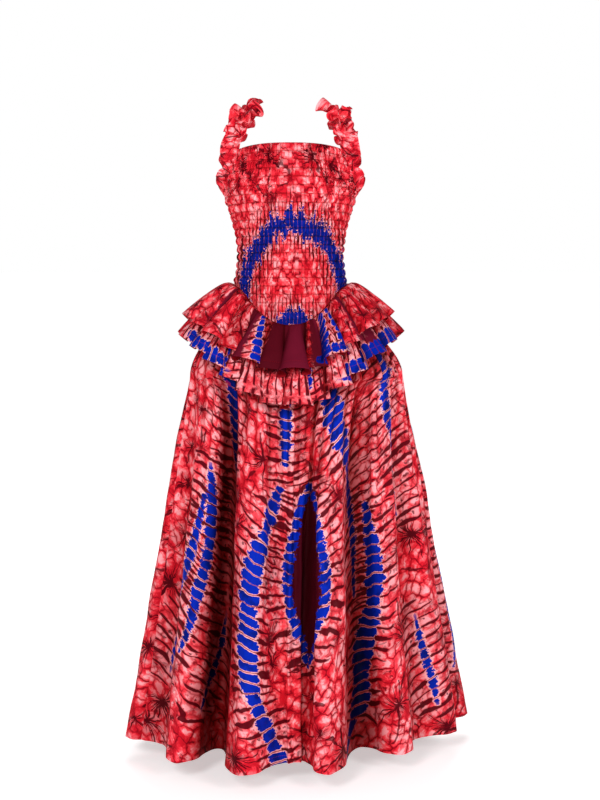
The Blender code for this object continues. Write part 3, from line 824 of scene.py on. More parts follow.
# Creases laid one by one: where each starts and ends down the skirt, its fold number there,
# its half width in fold numbers and its height in millimetres (negative for a trough).
skirtCreases = {
    "front": (
        (0.16, 0.62, 1.45, 1.30, 0.16, -3.5), (0.20, 0.95, 2.55, 2.75, 0.14, 3.0),
        (0.45, 1.05, 1.55, 1.40, 0.12, 3.5), (0.14, 0.60, 3.30, 3.45, 0.12, -4.0),
        (0.18, 0.70, 4.35, 4.55, 0.10, 3.0), (0.55, 1.05, 4.60, 4.35, 0.12, -3.5),
        (0.30, 0.85, 3.75, 3.80, 0.07, 2.5), (0.15, 0.55, 5.30, 5.15, 0.10, 3.5),
        (0.60, 1.05, 5.45, 5.60, 0.14, 3.0), (0.25, 0.95, 6.45, 6.55, 0.12, -5.0),
        (0.15, 0.60, 7.55, 7.70, 0.10, 3.0), (0.50, 1.05, 7.45, 7.35, 0.10, -3.5),
        (0.20, 0.80, 8.30, 8.40, 0.08, 2.8), (0.15, 0.65, 9.60, 9.35, 0.14, -3.5),
        (0.40, 1.05, 9.80, 10.00, 0.13, 3.0), (0.15, 0.75, 10.60, 10.75, 0.12, 3.2),
        (0.35, 1.05, 11.40, 11.60, 0.15, -3.0), (0.18, 0.58, 11.90, 11.75, 0.12, 3.0),
    ),
    "back": (
        (0.16, 0.70, 13.40, 13.60, 0.16, -3.5), (0.40, 1.05, 14.50, 14.30, 0.14, 3.0),
        (0.15, 0.65, 15.50, 15.60, 0.14, 3.2), (0.20, 0.95, 16.60, 16.45, 0.12, -3.5),
        (0.15, 0.60, 17.60, 17.75, 0.12, 3.0), (0.50, 1.05, 18.40, 18.60, 0.12, -3.0),
        (0.15, 0.80, 19.50, 19.35, 0.12, 3.2), (0.30, 1.00, 20.60, 20.70, 0.10, -3.0),
        (0.15, 0.62, 21.50, 21.35, 0.13, 3.5), (0.45, 1.05, 22.60, 22.45, 0.12, 3.0),
        (0.18, 0.70, 23.50, 23.60, 0.12, -3.5), (0.25, 0.95, 24.60, 24.50, 0.13, 3.0),
        (0.15, 0.60, 25.60, 25.75, 0.12, 3.2), (0.50, 1.05, 26.40, 26.60, 0.14, -3.0),
        (0.16, 0.75, 27.60, 27.45, 0.14, 3.0), (0.30, 1.05, 28.50, 28.70, 0.15, -3.5),
        (0.15, 0.65, 29.50, 29.60, 0.15, 3.0),
    ),
}


def mirroredBehind(path):
    centre = skirtPlan["printCentre"]["back"]
    return tuple((share, 2 * centre - fold, half) for share, fold, half in path)


# The blue bands, each a row of (share of the way down, fold number, half width in millimetres).
# Bands that lie close together are in different layers. A dark eye lies between two of them.
skirtEyes = {
    "front": (
        ((0.365, 6.95, 8), (0.41, 6.40, 14), (0.50, 5.72, 17), (0.60, 5.48, 17), (0.67, 5.85, 16),
         (0.735, 6.75, 13), (0.785, 7.10, 6)),
        ((0.365, 7.05, 8), (0.43, 7.45, 12), (0.52, 7.75, 13), (0.60, 7.88, 14), (0.67, 7.65, 13),
         (0.735, 7.35, 12), (0.785, 7.12, 6)),
    ),
    "back": (
        ((0.36, 21.35, 6), (0.43, 20.70, 10), (0.54, 20.15, 12), (0.64, 20.30, 12), (0.72, 20.90, 10),
         (0.79, 21.40, 4)),
        ((0.36, 21.50, 6), (0.43, 22.20, 10), (0.54, 22.80, 12), (0.64, 22.65, 12), (0.72, 22.00, 10),
         (0.79, 21.50, 4)),
    ),
}
backBands = (
    ((0.30, 13.6, 4), (0.45, 14.1, 12), (0.62, 14.2, 14), (0.80, 13.9, 10), (0.88, 13.6, 4)),
    ((0.12, 15.6, 12), (0.30, 15.9, 20), (0.48, 16.3, 22), (0.66, 16.4, 20), (0.84, 16.1, 16),
     (1.00, 15.7, 12)),
    ((0.20, 18.2, 6), (0.34, 18.0, 14), (0.52, 17.9, 18), (0.70, 18.1, 18), (0.86, 18.6, 14),
     (1.00, 19.0, 10)),
)
skirtBands = {
    "front": (
        ("bandFirst", ((0.43, 2.05, 5), (0.50, 1.88, 10), (0.60, 1.65, 12), (0.70, 1.30, 11), (0.79, 1.05, 8),
                       (0.84, 0.98, 3))),
        ("bandSecond", ((0.36, 2.22, 3), (0.42, 2.30, 11), (0.50, 2.34, 15), (0.58, 2.28, 15),
                        (0.66, 2.10, 12), (0.72, 1.92, 10), (0.77, 1.72, 5))),
        ("bandFirst", ((0.10, 3.10, 17), (0.24, 3.12, 17), (0.33, 3.15, 7), (0.42, 3.25, 0), (0.66, 3.00, 0),
                       (0.76, 2.85, 8), (0.84, 2.58, 10), (0.90, 2.40, 4))),
        ("bandSecond", ((0.372, 4.98, 14), (0.43, 4.68, 22), (0.49, 4.46, 24), (0.55, 4.22, 26),
                        (0.63, 4.10, 25), (0.76, 4.14, 24), (0.82, 4.28, 21), (0.88, 4.50, 20),
                        (0.94, 4.75, 22), (1.00, 4.98, 24))),
        ("bandSecond", ((0.14, 5.36, 15), (0.24, 5.34, 17), (0.318, 5.32, 11))),
        ("bandFirst", skirtEyes["front"][0]),
        ("bandSecond", skirtEyes["front"][1]),
        ("bandFirst", ((0.12, 7.35, 16), (0.19, 7.80, 27), (0.26, 8.20, 26), (0.35, 8.62, 19),
                       (0.45, 8.85, 14), (0.56, 8.95, 9), (0.66, 8.98, 4))),
        ("bandSecond", ((0.45, 9.38, 9), (0.51, 9.49, 18), (0.57, 9.56, 26), (0.66, 9.54, 28),
                        (0.74, 9.36, 27), (0.82, 9.14, 28), (0.90, 8.98, 28), (0.96, 8.70, 20),
                        (1.00, 8.52, 14))),
        ("bandFirst", ((0.10, 9.95, 10), (0.20, 10.12, 12), (0.30, 10.48, 12), (0.40, 10.85, 8),
                       (0.50, 11.05, 4))),
        ("bandSecond", ((0.72, 11.28, 3), (0.80, 11.38, 10), (0.87, 11.48, 10), (0.93, 11.52, 4))),
    ),
    "back": (
        ("bandFirst", backBands[0]),
        ("bandSecond", backBands[1]),
        ("bandFirst", backBands[2]),
        ("bandSecond", skirtEyes["back"][0]),
        ("bandFirst", skirtEyes["back"][1]),
        ("bandSecond", mirroredBehind(backBands[2])),
        ("bandFirst", mirroredBehind(backBands[1])),
        ("bandSecond", mirroredBehind(backBands[0])),
    ),
}


def bandLayer(bands, label, foldNumber, across, down, share):
    # for each point: metres from the nearest band, metres along it, and the band's half width there
    best = np.full(across.shape + (3,), farAway)
    best[..., 2] = 0.0
    rowDown = down.mean(axis=1)
    for number, (ownLabel, path) in enumerate(bands):
        if ownLabel != label:
            continue
        shares, folds, widths = np.array(path, float).T
        centre = valueAt(smoothThrough(shares, folds, share[:, 0]), foldNumber[0], across)
        lean = np.clip(np.gradient(centre[:, 0], rowDown), -0.9, 0.9)[:, None]
        beside = across - centre
        beyond = np.maximum(np.maximum(shares[0] - share, share - shares[-1]), 0) * rowDown[-1]
        distance = np.sqrt((beside / np.sqrt(1 + lean ** 2)) ** 2 + (2.2 * beyond) ** 2)
        run = down + beside * lean / (1 + lean ** 2) * 0.7 + number * 0.37
        half = smoothThrough(shares, widths, share) / 1000 * np.clip(1 - beyond / 0.02, 0, 1)
        nearer = distance < best[..., 0]
        best[nearer] = np.stack([distance, run, half], -1)[nearer]
    return best


def poolLayer(eyeEdges, foldNumber, across, share):
    # metres inside the long dark eye between two bands, negative outside it
    left, right = (
        valueAt(smoothThrough(*np.array(path, float).T[:2], share[:, 0]), foldNumber[0], across)
        for path in eyeEdges
    )
    outOfEye = np.maximum(np.maximum(eyeEdges[0][0][0] - share, share - eyeEdges[0][-1][0]), 0)
    return np.clip(np.minimum(across - left, right - across) - outOfEye * 1.5, -0.2, 0.2)


def plainRing(ring, angle):
    turn = np.radians(angle)
    depth = np.where(np.cos(turn) >= 0, ring["front"], ring["back"])
    return np.stack([ring["x"] + ring["halfWidth"] * np.sin(turn), ring["y"] - depth * np.cos(turn)], -1)


def skirtOutline(at):
    # the angle round the waist and the place at the hem of each fold number
    folds = tableColumns(skirtPlan["names"], skirtPlan["folds"])
    following = np.append(folds["angle"][1:], folds["angle"][0] + 360)
    bends = np.array(skirtPlan["folds"])[:, 1:].reshape(-1, 2)
    places = np.stack([folds["angle"], (folds["angle"] + following) / 2], 1).reshape(-1)
    count = len(bends)
    numbers = np.arange(-count, 2 * count)
    turned = places[numbers % count] + 360.0 * (numbers // count)
    return smoothThrough(numbers, turned, at), smoothThrough(numbers, bends[numbers % count], at)


def creased(foldNumber, share, creases):
    height = np.zeros(foldNumber.shape)
    for start, end, startFold, endFold, width, depth in creases:
        way = np.clip((share - start) / (end - start), 0, 1)
        line = startFold + (endFold - startFold) * way + 0.05 * wobble(share * 9.0, startFold)
        strength = eased((share - start) / 0.12) * eased((end - share) / 0.14)
        height += depth / 1000 * strength * bell(foldNumber - line, width)
    return height


def skirtPoints(at, rowShares):
    # from the seam out over the hip, then down to the folds of the hem
    angle, hem = skirtOutline(at)
    hipHeight, hemHeight = skirtPlan["hipHeight"], skirtPlan["hemHeight"]
    top = seamHeight(angle) - figure["seamGap"] / 2 - 0.0005
    waist = bodyPoint(angle, top)[:, :2]
    hip, hemRing = (plainRing(skirtPlan[name], angle) for name in ("hip", "hem"))
    outward = outwardAt(angle)[:, :2]
    share = rowShares[:, None]
    height = top + (hemHeight - top) * share
    above = eased((top - height) / (top - hipHeight))[..., None]
    fall = np.clip((hipHeight - height) / (hipHeight - hemHeight), 0, 1)[..., None]
    base = waist + (hip - waist) * above + (hemRing - hip) * fall
    folded = (hem - hemRing) * fall ** skirtPlan["foldGrowth"]
    fading = skirtPlan["upperGather"] * above * (1 - fall) ** 2
    gathers = outward * fading * -np.cos(2 * np.pi * at)[:, None] * np.sin(np.pi * share)[..., None]
    return np.concatenate([base + outward * 0.001 + folded + gathers, height[..., None]], -1)


def paintedFoldShade(points, at):
    # painted shade from how far each point lies behind the line between the crests on its two sides, as a
    # share of that line
    crests = np.arange(2 * np.ceil(at[0] / 2), at[-1] + 0.01, 2)
    depth = np.zeros(points.shape[:2])
    for before, after in zip(crests[:-1], crests[1:]):
        inside = (at >= before) & (at <= after)
        start, end = (points[:, np.argmin(np.abs(at - crest))][:, None, :2] for crest in (before, after))
        chord = end - start
        length = np.linalg.norm(chord, axis=-1)
        offset = points[:, inside, :2] - start
        behind = (chord[..., 0] * offset[..., 1] - chord[..., 1] * offset[..., 0]) / length
        depth[:, inside] = np.clip(behind / length, 0, 1)
    return np.clip(depth * skirtPlan["foldShade"], 0, 1) ** 1.05


def tierHem(angle):
    # roughly how low the longer tier of the peplum hangs at each angle
    return -0.505 - 0.125 * nearFront(angle, 2) - 0.03 * nearBack(angle, 1)


def foldRelief(side, foldNumber, share, pleats):
    first, last = skirtPlan["seams"][side]
    detail = creased(foldNumber, share, skirtCreases[side])
    detail += skirtPlan["pleat"] * pleats * (0.65 + 0.35 * wobble(foldNumber * 5.0, 4.0))
    # slow unevenness so that no fold runs ruler-straight
    detail += 0.0022 * wobble(share * 7.0 + foldNumber * 1.9, 5.0) * eased((share - 0.15) / 0.3)
    detail += 0.0016 * wobble(share * 19.0 + foldNumber * 4.3, 7.0) * eased((share - 0.1) / 0.3)
    # each fold is boxy: flat across its crest, full at its shoulders
    fromCrest = np.abs(foldNumber - 2 * np.round(foldNumber / 2))
    shoulders = bell(fromCrest - 0.40, 0.17) - 0.30 * bell(fromCrest, 0.22)
    detail += skirtPlan["shoulder"] * shoulders * eased((share - 0.08) / 0.40)
    nearSeam = np.minimum(foldNumber - first, last - foldNumber)
    return detail * eased(share / 0.02) * eased(nearSeam / 0.10)


def skirtHalf(side):
    first, last = skirtPlan["seams"][side]
    perFold = skirtPlan["stepsPerFold"][side]
    at = np.arange((first - 3) * perFold, (last + 3) * perFold + 1) / perFold
    rowShares = np.linspace(0, 1, skirtPlan["rows"] + 1) ** skirtPlan["rowCrowding"]
    foldNumber, share = np.meshgrid(at, rowShares)
    # small pleats where the skirt is gathered into the seam, dying out below the hip
    wave = np.sin(foldNumber * 2 * np.pi * 2.1 + 1.4 * wobble(foldNumber * 1.7, 2.0))
    reach = 0.10 + 0.14 * scattered(np.round(foldNumber * 2), 4.0)
    fade = eased(share / 0.03) * (1 - eased((share - reach) / 0.30))
    plain = skirtPoints(at, rowShares)
    shaped = plain + gridNormals(plain) * foldRelief(side, foldNumber, share, wave * fade)[..., None]
    # painted shade deep in each fold and in the troughs of the small pleats
    paintedShade = paintedFoldShade(shaped, at) + skirtPlan["pleatShade"] * np.clip(-wave, 0, 1) ** 1.3 * fade
    # painted shadow on the skirt just under the peplum's longer tier
    tierShadow = 1 - (tierHem(skirtOutline(at)[0]) - shaped[..., 2]) / skirtPlan["tierShadeReach"]
    paintedShade = np.clip(paintedShade + skirtPlan["tierShade"] * np.clip(tierShadow, 0, 1) ** 1.2, 0, 1)
    half = gridNormals(shaped) * skirtPlan["wall"] / 2
    keep = (at > first - 1e-6) & (at < last + 1e-6)
    shaped, half, foldNumber, share = (part[:, keep] for part in (shaped, half, foldNumber, share))
    home = (skirtPlan["printCentre"][side] - first) / (last - first) * (shaped.shape[1] - 1)
    layers = plainLayers(shaped, skirtPlan["cloth"][side], home)
    across = metresAcross(shaped, home)
    down = layers["cloth"][..., 1]
    grain = across[int(skirtPlan["grainRow"] * len(across))]
    layers["cloth"][..., 0] += skirtPlan["grainHold"] * (grain - across)
    for label in ("bandFirst", "bandSecond"):
        layers[label] = bandLayer(skirtBands[side], label, foldNumber, across, down, share)
    layers["pool"] = poolLayer(skirtEyes[side], foldNumber, across, share)
    layers["edge"] = down[-1] - down
    layers["paintedShade"] = paintedShade[:, keep]
    sewnPiece("gathered_skirt_" + side, "skirt", "skirt_" + side, shaped + half, shaped - half,
              skirtPlan["innerStep"], layers)


for side in ("front", "back"):
    skirtHalf(side)
print("skirt hung")


# Peplum: two gathered tiers in the same flutes.
peplumPlan = {
    # lengths in metres, slopes in degrees down from level
    "upper": {"length": 0.122, "frontExtra": 0.008, "frontSlope": 56.0, "sideSlope": 43.0, "backSlope": 47.0,
              "depth": 0.038, "standOff": 0.0074, "lean": -0.006, "rise": 0.024, "cloth": 12.0},
    "lower": {"length": 0.166, "frontExtra": 0.026, "frontSlope": 68.0, "sideSlope": 46.5, "backSlope": 57.0,
              "depth": 0.031, "standOff": 0.0036, "lean": 0.000, "rise": 0.008, "cloth": 15.0},
    "ends": {"front": (-90.0, 90.0), "back": (90.0, 270.0)},
    "clothFurther": {"front": 0.0, "back": 1.9},
    "flutes": (  # angle of each crest, and how deep the flute is
        (-90.0, 0.80), (-74.0, 1.00), (-59.0, 0.75), (-46.0, 0.90), (-34.0, 0.70), (-21.0, 1.00),
        (-8.5, 0.80), (3.5, 1.15), (14.0, 0.60), (25.5, 1.05), (38.0, 0.80), (52.0, 1.00),
        (69.0, 0.85), (86.0, 0.95), (103.0, 0.80), (121.0, 1.00), (138.0, 0.85), (154.0, 1.05),
        (171.0, 0.80), (188.0, 1.00), (204.0, 0.85), (221.0, 1.00), (237.0, 0.80), (254.0, 0.95),
    ),
    "boxiness": 1.7,
    "stepsPerFlute": 26,
    "rows": 34,
    "innerStep": 2,
    "wall": 0.0014,
    "overhang": 0.0240,  # how far each flute leans over its valleys at the hem
    "bandFromHem": 0.016,
    "seamShade": 0.5,
    "cuts": {  # each flounce as cut: metres along its hem, metres long, square metres
        "upper_front": (1.60, 0.135, 0.160), "upper_back": (1.40, 0.132, 0.131),
        "lower_front": (1.60, 0.190, 0.212), "lower_back": (1.35, 0.175, 0.168),
    },
}

# Dye along the tiers, by the angle round the waist: half width in millimetres of the blue band near
# the hem, and how clearly the ribs that cross it show.
tierHemDye = {
    "upper": ((10, 0, 0), (14, 11, 1), (30, 12, 1), (36, 0, 0), (150, 0, 0), (175, 8, 1), (200, 0, 0)),
    "lower": ((-78, 0, 0), (-72, 11, 1), (-46, 17, 1), (-38, 8, 1), (-32, 0, 1), (24, 0, 1), (30, 14, 1),
              (62, 20, 1), (80, 14, 1), (90, 0, 0), (120, 0, 0), (135, 12, 1), (165, 14, 1), (180, 6, 1),
              (205, 12, 1), (230, 12, 1), (245, 0, 0)),
}
# Blue blots standing down the tier: angle, half width in millimetres, and how much of the tier they fill.
tierBlots = {
    "upper": ((-19.0, 17, 0.02, 0.95), (22.8, 25, 0.10, 0.92), (27.6, 20, 0.02, 0.80),
              (160.0, 14, 0.1, 0.8), (198.0, 14, 0.1, 0.8)),
    "lower": ((-36.0, 12, 0.50, 0.95), (12.0, 13, 0.60, 0.80)),
}
# Wine-coloured pools on the front: middle angle, half width in degrees.
tierPools = {
    "upper": ((0.5, 12.0), (-25.2, 4.4), (15.5, 3.0), (41.0, 2.8), (-55.0, 2.0)),
    "lower": ((52.0, 2.5), (-62.0, 2.0)),
}
# Folds of the front that lie back from the light: from one angle to another, and how much darker they are.
tierShade = {
    "upper": ((-14.0, -2.5, 0.50), (8.5, 16.5, 0.45), (-36.0, -31.0, 0.35), (43.0, 48.0, 0.35)),
    "lower": (),
}


def fluteWave(angle):
    # how deep the flutes are at each angle, and the turn of their wave there
    crests, depths = np.array(peplumPlan["flutes"]).T
    around = np.concatenate([crests - 360, crests, crests + 360])
    number = np.interp(angle, around, np.arange(len(around)))
    return np.interp(angle, around, np.tile(depths, 3)), 2 * np.pi * number


def boxyWave(turn):
    # a cosine wave, flat on top and in its valleys
    sharpness = peplumPlan["boxiness"]
    return 0.5 * np.tanh(sharpness * np.cos(turn)) / math.tanh(sharpness)


def tierPoints(tier, angle, ends, shares):
    depth, turn = fluteWave(angle)
    outward, sideways, up = outwardAt(angle), outwardAt(angle + 90), np.array([0.0, 0.0, 1.0])
    slope = tier["sideSlope"] + (tier["frontSlope"] - tier["sideSlope"]) * nearFront(angle, 1.4)
    slope = np.radians(slope + (tier["backSlope"] - tier["sideSlope"]) * nearBack(angle, 1.4))[:, None]
    wave = ((0.5 + boxyWave(turn)) * depth)[:, None]
    root = bodyPoint(angle, seamHeight(angle) - figure["seamGap"] - 0.001) + outward * tier["standOff"]
    length = tier["length"] + tier["frontExtra"] * nearFront(angle, 2)[:, None]
    lifted = outward * np.sin(slope) + up * np.cos(slope)
    seamFade = eased(np.minimum(angle - ends[0], ends[1] - angle) / 6.0)[:, None]
    lean = peplumPlan["overhang"] * (depth * np.sin(turn))[:, None] * seamFade
    rows = []
    for share in shares:
        spring = share * (1.26 - 0.28 * share)
        drop = share ** 1.06 * 1.03
        away = length * (outward * np.cos(slope) * spring - up * np.sin(slope) * drop)
        away += up * (tier["rise"] * np.cos(slope) * (1 - math.exp(-share / 0.07)) * (1 - share) ** 1.2)
        away[:, 0] += tier["lean"] * share
        ripple = 0.0016 * np.sin(turn * 2 + 1.0 + 2.0 * share)
        ripple = ripple + 0.0022 * wobble(angle / 6.0 + share * 4.0, 3.0)
        pleat = 0.0012 * np.sin(turn * 4 + wobble(angle / 9.0, 6.0))
        pleat = pleat * eased(share / 0.08) * (1 - share) ** 2
        swell = tier["depth"] * wave * share + (ripple * share + pleat)[:, None] * seamFade
        rows.append(root + away + lifted * swell + sideways * lean * share ** 1.3)
    return np.array(rows)


def addBlots(layers, name, angle, share, run, down):
    best = layers["bandSecond"]
    for blotAngle, width, start, end in tierBlots[name]:
        if not angle[0] < blotAngle < angle[-1]:
            continue
        beside = run - valueAt([blotAngle] * len(run), angle, run)
        beyond = np.maximum(np.maximum(start - share, share - end), 0) * peplumPlan[name]["length"]
        distance = np.sqrt(beside ** 2 + beyond ** 2)
        nearer = distance < best[..., 0]
        blot = np.stack([distance * 1.15, down + 0.3 + 0.4 * beside, np.full(down.shape, width / 1000)], -1)
        best[nearer] = blot[nearer]


def peplumTier(name, side):
    tier = peplumPlan[name]
    first, last = peplumPlan["ends"][side]
    steps = len(peplumPlan["flutes"]) * peplumPlan["stepsPerFlute"] // 2
    beyond = (last - first) / steps
    angle = np.linspace(first - beyond, last + beyond, steps + 3)
    shares = np.linspace(0, 1, peplumPlan["rows"] + 1)
    middle = tierPoints(tier, angle, (first, last), shares)
    outer, inner = (face[:, 1:-1] for face in bothFaces(middle, peplumPlan["wall"]))
    angle, middle = angle[1:-1], middle[:, 1:-1]
    layers = plainLayers(middle, tier["cloth"] + peplumPlan["clothFurther"][side])
    down = layers["cloth"][..., 1]
    share = shares[:, None] + 0 * down
    run = layers["cloth"][-4, :, 0] + 0 * down  # the tier is one straight strip, gathered at its top
    layers["cloth"][..., 0] = run
    fromHem = down[-1] - down
    layers["edge"] = fromHem
    # painted shade in the valleys of the flutes and along the gathered seam at the top
    inFlute = 0.5 - boxyWave(fluteWave(angle)[1] - 0.35)
    paintedShade = inFlute ** 1.3 * (0.35 + 0.65 * share) + peplumPlan["seamShade"] * np.exp(-share / 0.04)
    if side == "front":
        for start, end, shade in tierShade[name]:
            paintedShade += shade * eased((angle - start) / 1.5) * eased((end - angle) / 1.5)
        for middleAngle, halfAngle in tierPools[name]:
            inside = np.clip((halfAngle - np.abs(angle - middleAngle)) / 90, -0.2, 0.2)
            layers["pool"] = np.maximum(layers["pool"], inside)
    layers["paintedShade"] = np.clip(paintedShade, 0, 1)
    dyeAngle, dyeHalf, ribbed = np.array(tierHemDye[name], float).T
    half = np.interp(angle, dyeAngle, dyeHalf) / 1000 + 0 * down
    fromBand = np.abs(fromHem - peplumPlan["bandFromHem"]) + 0.2 * (1 - np.interp(angle, dyeAngle, ribbed))
    layers["bandFirst"] = np.stack([fromBand, run, half], -1)
    addBlots(layers, name, angle, share, run, down)
    sewnPiece(f"peplum_{name}_tier_{side}", "peplum", f"peplum_{name}_{side}", outer, inner,
              peplumPlan["innerStep"], layers)


for name in ("upper", "lower"):
    for side in ("front", "back"):
        peplumTier(name, side)
print("peplum tiers gathered")


# Straps: one gathered strip over each shoulder, frilled along both edges.
strapPlan = {
    "shoulder": (  # place of the gathered line over the shoulder, and the way it faces
        (0.119, -0.050, -0.046, 0.45, -0.75, 0.40),
        (0.111, -0.028, -0.010, 0.25, -0.55, 0.80),
        (0.105, 0.002, 0.006, 0.12, 0.00, 0.99),
        (0.109, 0.034, -0.008, 0.22, 0.55, 0.80),
        (0.119, 0.060, -0.050, 0.45, 0.78, 0.40),
    ),
    "stations": {"front": (0.33, 0.27, 0.20, 0.12, 0.05, 0.0), "back": (0.0, 0.06, 0.12, 0.18, 0.23, 0.27)},
    "names": ("share", "inner", "outer", "innerStand", "outerStand", "ruffle", "waveLength"),
    "frills": (
        # share of the strap, widths in metres, how steeply each frill stands in degrees,
        # how deep its waves are and how long, in millimetres
        (0.000, 0.003, 0.010, 8.0, 20.0, 0.0, 60.0),
        (0.045, 0.004, 0.018, 10.0, 40.0, 1.5, 60.0),
        (0.095, 0.005, 0.027, 10.0, 42.0, 2.0, 60.0),
        (0.145, 0.005, 0.027, 10.0, 40.0, 2.0, 60.0),
        (0.195, 0.007, 0.018, 12.0, 34.0, 2.0, 46.0),
        (0.235, 0.014, 0.033, 20.0, 28.0, 2.0, 56.0),
        (0.280, 0.024, 0.037, 22.0, 26.0, 2.0, 56.0),
        (0.325, 0.028, 0.034, 26.0, 30.0, 3.6, 44.0),
        (0.370, 0.036, 0.032, 36.0, 38.0, 7.0, 30.0),
        (0.450, 0.048, 0.034, 40.0, 46.0, 9.0, 26.0),
        (0.520, 0.050, 0.038, 40.0, 48.0, 9.0, 26.0),
        (0.600, 0.042, 0.040, 42.0, 44.0, 8.5, 27.0),
        (0.670, 0.022, 0.040, 36.0, 38.0, 7.0, 30.0),
        (0.720, 0.010, 0.036, 26.0, 34.0, 5.0, 36.0),
        (0.780, 0.008, 0.041, 22.0, 28.0, 4.0, 44.0),
        (0.840, 0.006, 0.024, 14.0, 36.0, 3.0, 50.0),
        (0.900, 0.005, 0.034, 10.0, 42.0, 3.0, 60.0),
        (0.950, 0.004, 0.024, 8.0, 36.0, 2.0, 60.0),
        (1.000, 0.003, 0.010, 8.0, 20.0, 0.0, 60.0),
    ),
    "puff": 0.024,  # how far the gathered middle swells on the shoulder
    "steps": 520,
    "acrossSteps": 15,
    "innerStep": 1,
    "wall": 0.0012,
    "standOff": 0.0036,  # from the plain panel to the middle of the strap
    "deepRuffle": 9.0,  # millimetres
    "wildTurn": 36,  # degrees that the deepest ruffles swing about
    "lineShade": 0.55,
    "fullness": 1.9,
    "cut": (0.80, 0.060, 0.042),
}


def strapRoute():
    # the gathered line: up the front armhole edge, over the shoulder and down the back one
    places, faces = [], []
    nearby = 0.01
    for side, end in (("front", 1.0), ("back", -1.0)):
        for station in strapPlan["stations"][side]:
            down = np.array([[station], [station + nearby]])
            corner = panelPoints(side, down, np.array([[end - nearby * end, end]]))
            here = corner[0, 1]
            normal = np.cross(corner[1, 1] - here, here - corner[0, 0])
            normal *= np.sign(normal @ (here * (1, 1, 0)))
            normal /= np.linalg.norm(normal)
            places.append(here + normal * strapPlan["standOff"])
            faces.append(normal)
        for row in strapPlan["shoulder"] if side == "front" else ():
            places.append(np.array(row[:3]))
            faces.append(np.array(row[3:]) / np.linalg.norm(row[3:]))
    run = metresAlong(np.array(places))
    return run / run[-1], places, faces


def frillLines(direction, line, ways, sizes, waves, phase, wild):
    # lines of points from the gathered line out to the edge of one frill
    along, side, face = ways
    inner, outer, innerStand, outerStand, ruffle = sizes
    count = strapPlan["acrossSteps"]
    width, stand, late = (outer, outerStand, 0.0) if direction > 0 else (inner, innerStand, 2.4)
    turn = 2 * np.pi * waves + phase + late + 0.5 * wobble(waves * 1.9, 3.0 + direction)
    own = 0.75 + 0.5 * scattered(np.floor(turn / np.pi), 4.0 + direction)
    own = np.convolve(np.pad(own, 6, mode="edge"), np.ones(13) / 13, mode="valid")
    slow = strapPlan["wildTurn"] * wild ** 2 * wobble(waves * 2.1 + phase, 6.0 + direction)
    lines = [line]
    place = line
    for step in range(1, count + 1):
        out = step / count
        # each frill stands up from the gathered line and curls over towards its edge
        rise = np.radians(stand * (1 + wild * (0.45 - 0.80 * out)) + slow * (0.3 + 0.7 * out))[:, None]
        leaning = side * np.cos(rise) * direction + face * np.sin(rise)
        across = face * np.cos(rise) - side * np.sin(rise) * direction
        scallop = 1 + 0.24 * wild * np.sin(turn + 1.0 + phase) * out
        place = place + leaning * (width / count * scallop)[:, None]
        depth = (ruffle / 1000 * own * eased(out / 0.5) * (0.45 + 0.55 * out))[:, None]
        loops = across * np.sin(turn)[:, None] - along * (0.55 * np.sin(2 * turn))[:, None]
        lines.append(place + loops * depth)
    return lines


def frilledStrap(name, mirror, phase, cloth):
    knots, places, faces = strapRoute()
    share = np.linspace(0, 1, strapPlan["steps"] + 1)
    line, face = (smoothThrough(knots, part, share) for part in (places, faces))
    along = np.gradient(line, axis=0)
    along /= np.linalg.norm(along, axis=1, keepdims=True)
    side = np.cross(along, face)
    side /= np.linalg.norm(side, axis=1, keepdims=True)
    face = np.cross(side, along)
    frills = tableColumns(strapPlan["names"], strapPlan["frills"])
    sizes = [smoothThrough(frills["share"], frills[label], share) for label in strapPlan["names"][1:]]
    waveLength = sizes.pop()
    wild = np.clip(sizes[-1] / strapPlan["deepRuffle"], 0, 1)
    length = metresAlong(line)
    waves = np.insert(np.cumsum(np.diff(length) * 1000 / waveLength[1:]), 0, 0.0)
    inward, outward = (
        frillLines(direction, line, (along, side, face), sizes, waves, phase, wild)
        for direction in (-1.0, 1.0)
    )
    middle = np.array(inward[::-1] + outward[1:])
    out = np.abs(np.linspace(-1, 1, len(middle)))[:, None]
    swell = strapPlan["puff"] * wild * (0.75 + 0.35 * np.sin(2 * np.pi * waves * 0.8 + 1.0))
    middle = middle + face * (swell * bell(out, 0.26))[..., None]
    puckers = 0.0011 * np.sin(2 * np.pi * 62 * share + 2 * wobble(share * 40, 1.0))
    puckers = puckers * bell(out, 0.30) * eased(out / 0.05)
    fadeEnds = eased(share / 0.05) * eased((1 - share) / 0.05)
    middle = middle + gridNormals(middle) * (puckers * fadeEnds)[..., None]
    if mirror:
        middle = middle[:, ::-1] * np.array([-1.0, 1.0, 1.0])
    layers = plainLayers(middle, cloth)
    layers["cloth"][..., 0] = cloth + strapPlan["fullness"] * length[::-1 if mirror else 1]
    run, width = layers["cloth"][..., 0], layers["cloth"][..., 1]
    fromLine = width - width[strapPlan["acrossSteps"]]
    # painted shade along the gathered line that the two frills rise from
    layers["paintedShade"] = strapPlan["lineShade"] * bell(fromLine, 0.0022) * (0.6 + 0.4 * wobble(run * 300, 2.0))
    layers["edge"] = np.minimum(width, width[-1] - width) + 0.012
    outer, inner = bothFaces(middle, strapPlan["wall"])
    sewnPiece("frilled_" + name, "strap", name, outer, inner, strapPlan["innerStep"], layers)


frilledStrap("strap_left", False, 0.4, 18.0)
frilledStrap("strap_right", True, 1.3, 20.0)
print("straps frilled")


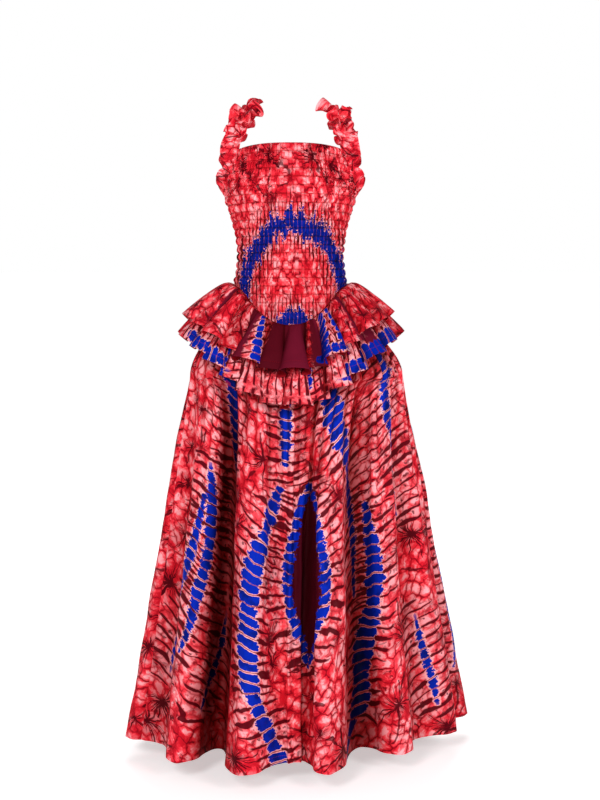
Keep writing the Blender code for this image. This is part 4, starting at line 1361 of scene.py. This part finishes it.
# Floor and light.
studio = {
    "floorHeight": -1.5276,
    "floorHalfSize": 40.0,
    "floorColour": (0.88, 0.88, 0.885, 1),
    "floorGlowNear": 0.50,
    "floorGlowFar": 0.77,
    "skyLight": 0.27,
    "aim": (0.0, 0.0, -0.7),
    "lamps": (
        # place, size, watts
        ((-1.5, -4.6, 1.3), 1.5, 132),
        ((2.2, -3.6, 0.6), 1.4, 74),
        ((0.0, 3.2, 1.6), 2.4, 70),
    ),
}


def setFloor():
    mesh = bpy.data.meshes.new("floor")
    size = studio["floorHalfSize"]
    corners = [(x * size, y * size, studio["floorHeight"]) for x, y in ((-1, -1), (1, -1), (1, 1), (-1, 1))]
    mesh.from_pydata(corners, [], [(0, 1, 2, 3)])
    floor = placed("floor", mesh)
    paper = bpy.data.materials.new("pale floor")
    paper.use_nodes = True
    tree = paper.node_tree
    shader = tree.nodes["Principled BSDF"]
    shader.inputs["Base Color"].default_value = studio["floorColour"]
    shader.inputs["Roughness"].default_value = 0.6
    shader.inputs["Emission Color"].default_value = (1, 1, 1, 1)
    place = addNode(tree, "ShaderNodeNewGeometry", {}).outputs["Position"]
    far = between(vectorSum("LENGTH", place, output="Value"), 1.8, 5.0)
    glow = scaled(far, studio["floorGlowFar"] - studio["floorGlowNear"], studio["floorGlowNear"])
    tree.links.new(glow, shader.inputs["Emission Strength"])
    mesh.materials.append(paper)


def setLights():
    world = bpy.data.worlds.new("studio")
    bpy.context.scene.world = world
    world.use_nodes = True
    tree = world.node_tree
    back = tree.nodes["Background"]
    back.inputs["Color"].default_value = (1, 1, 1, 1)
    seen = addNode(tree, "ShaderNodeLightPath", {}).outputs["Is Camera Ray"]
    tree.links.new(scaled(seen, 1.0 - studio["skyLight"], studio["skyLight"]), back.inputs["Strength"])
    for number, (place, size, watts) in enumerate(studio["lamps"]):
        lamp = bpy.data.lights.new(f"softbox {number}", "AREA")
        lamp.shape = "DISK"
        lamp.size = size
        lamp.energy = watts
        holder = placed(f"softbox {number}", lamp)
        holder.location = place
        aim = np.array(studio["aim"]) - np.array(place)
        pitch = math.atan2(math.hypot(aim[0], aim[1]), -aim[2])
        holder.rotation_euler = (pitch, 0, math.atan2(aim[1], aim[0]) - math.pi / 2)


setFloor()
setLights()
bpy.context.scene.view_settings.view_transform = "Standard"
print("floor and lights placed")
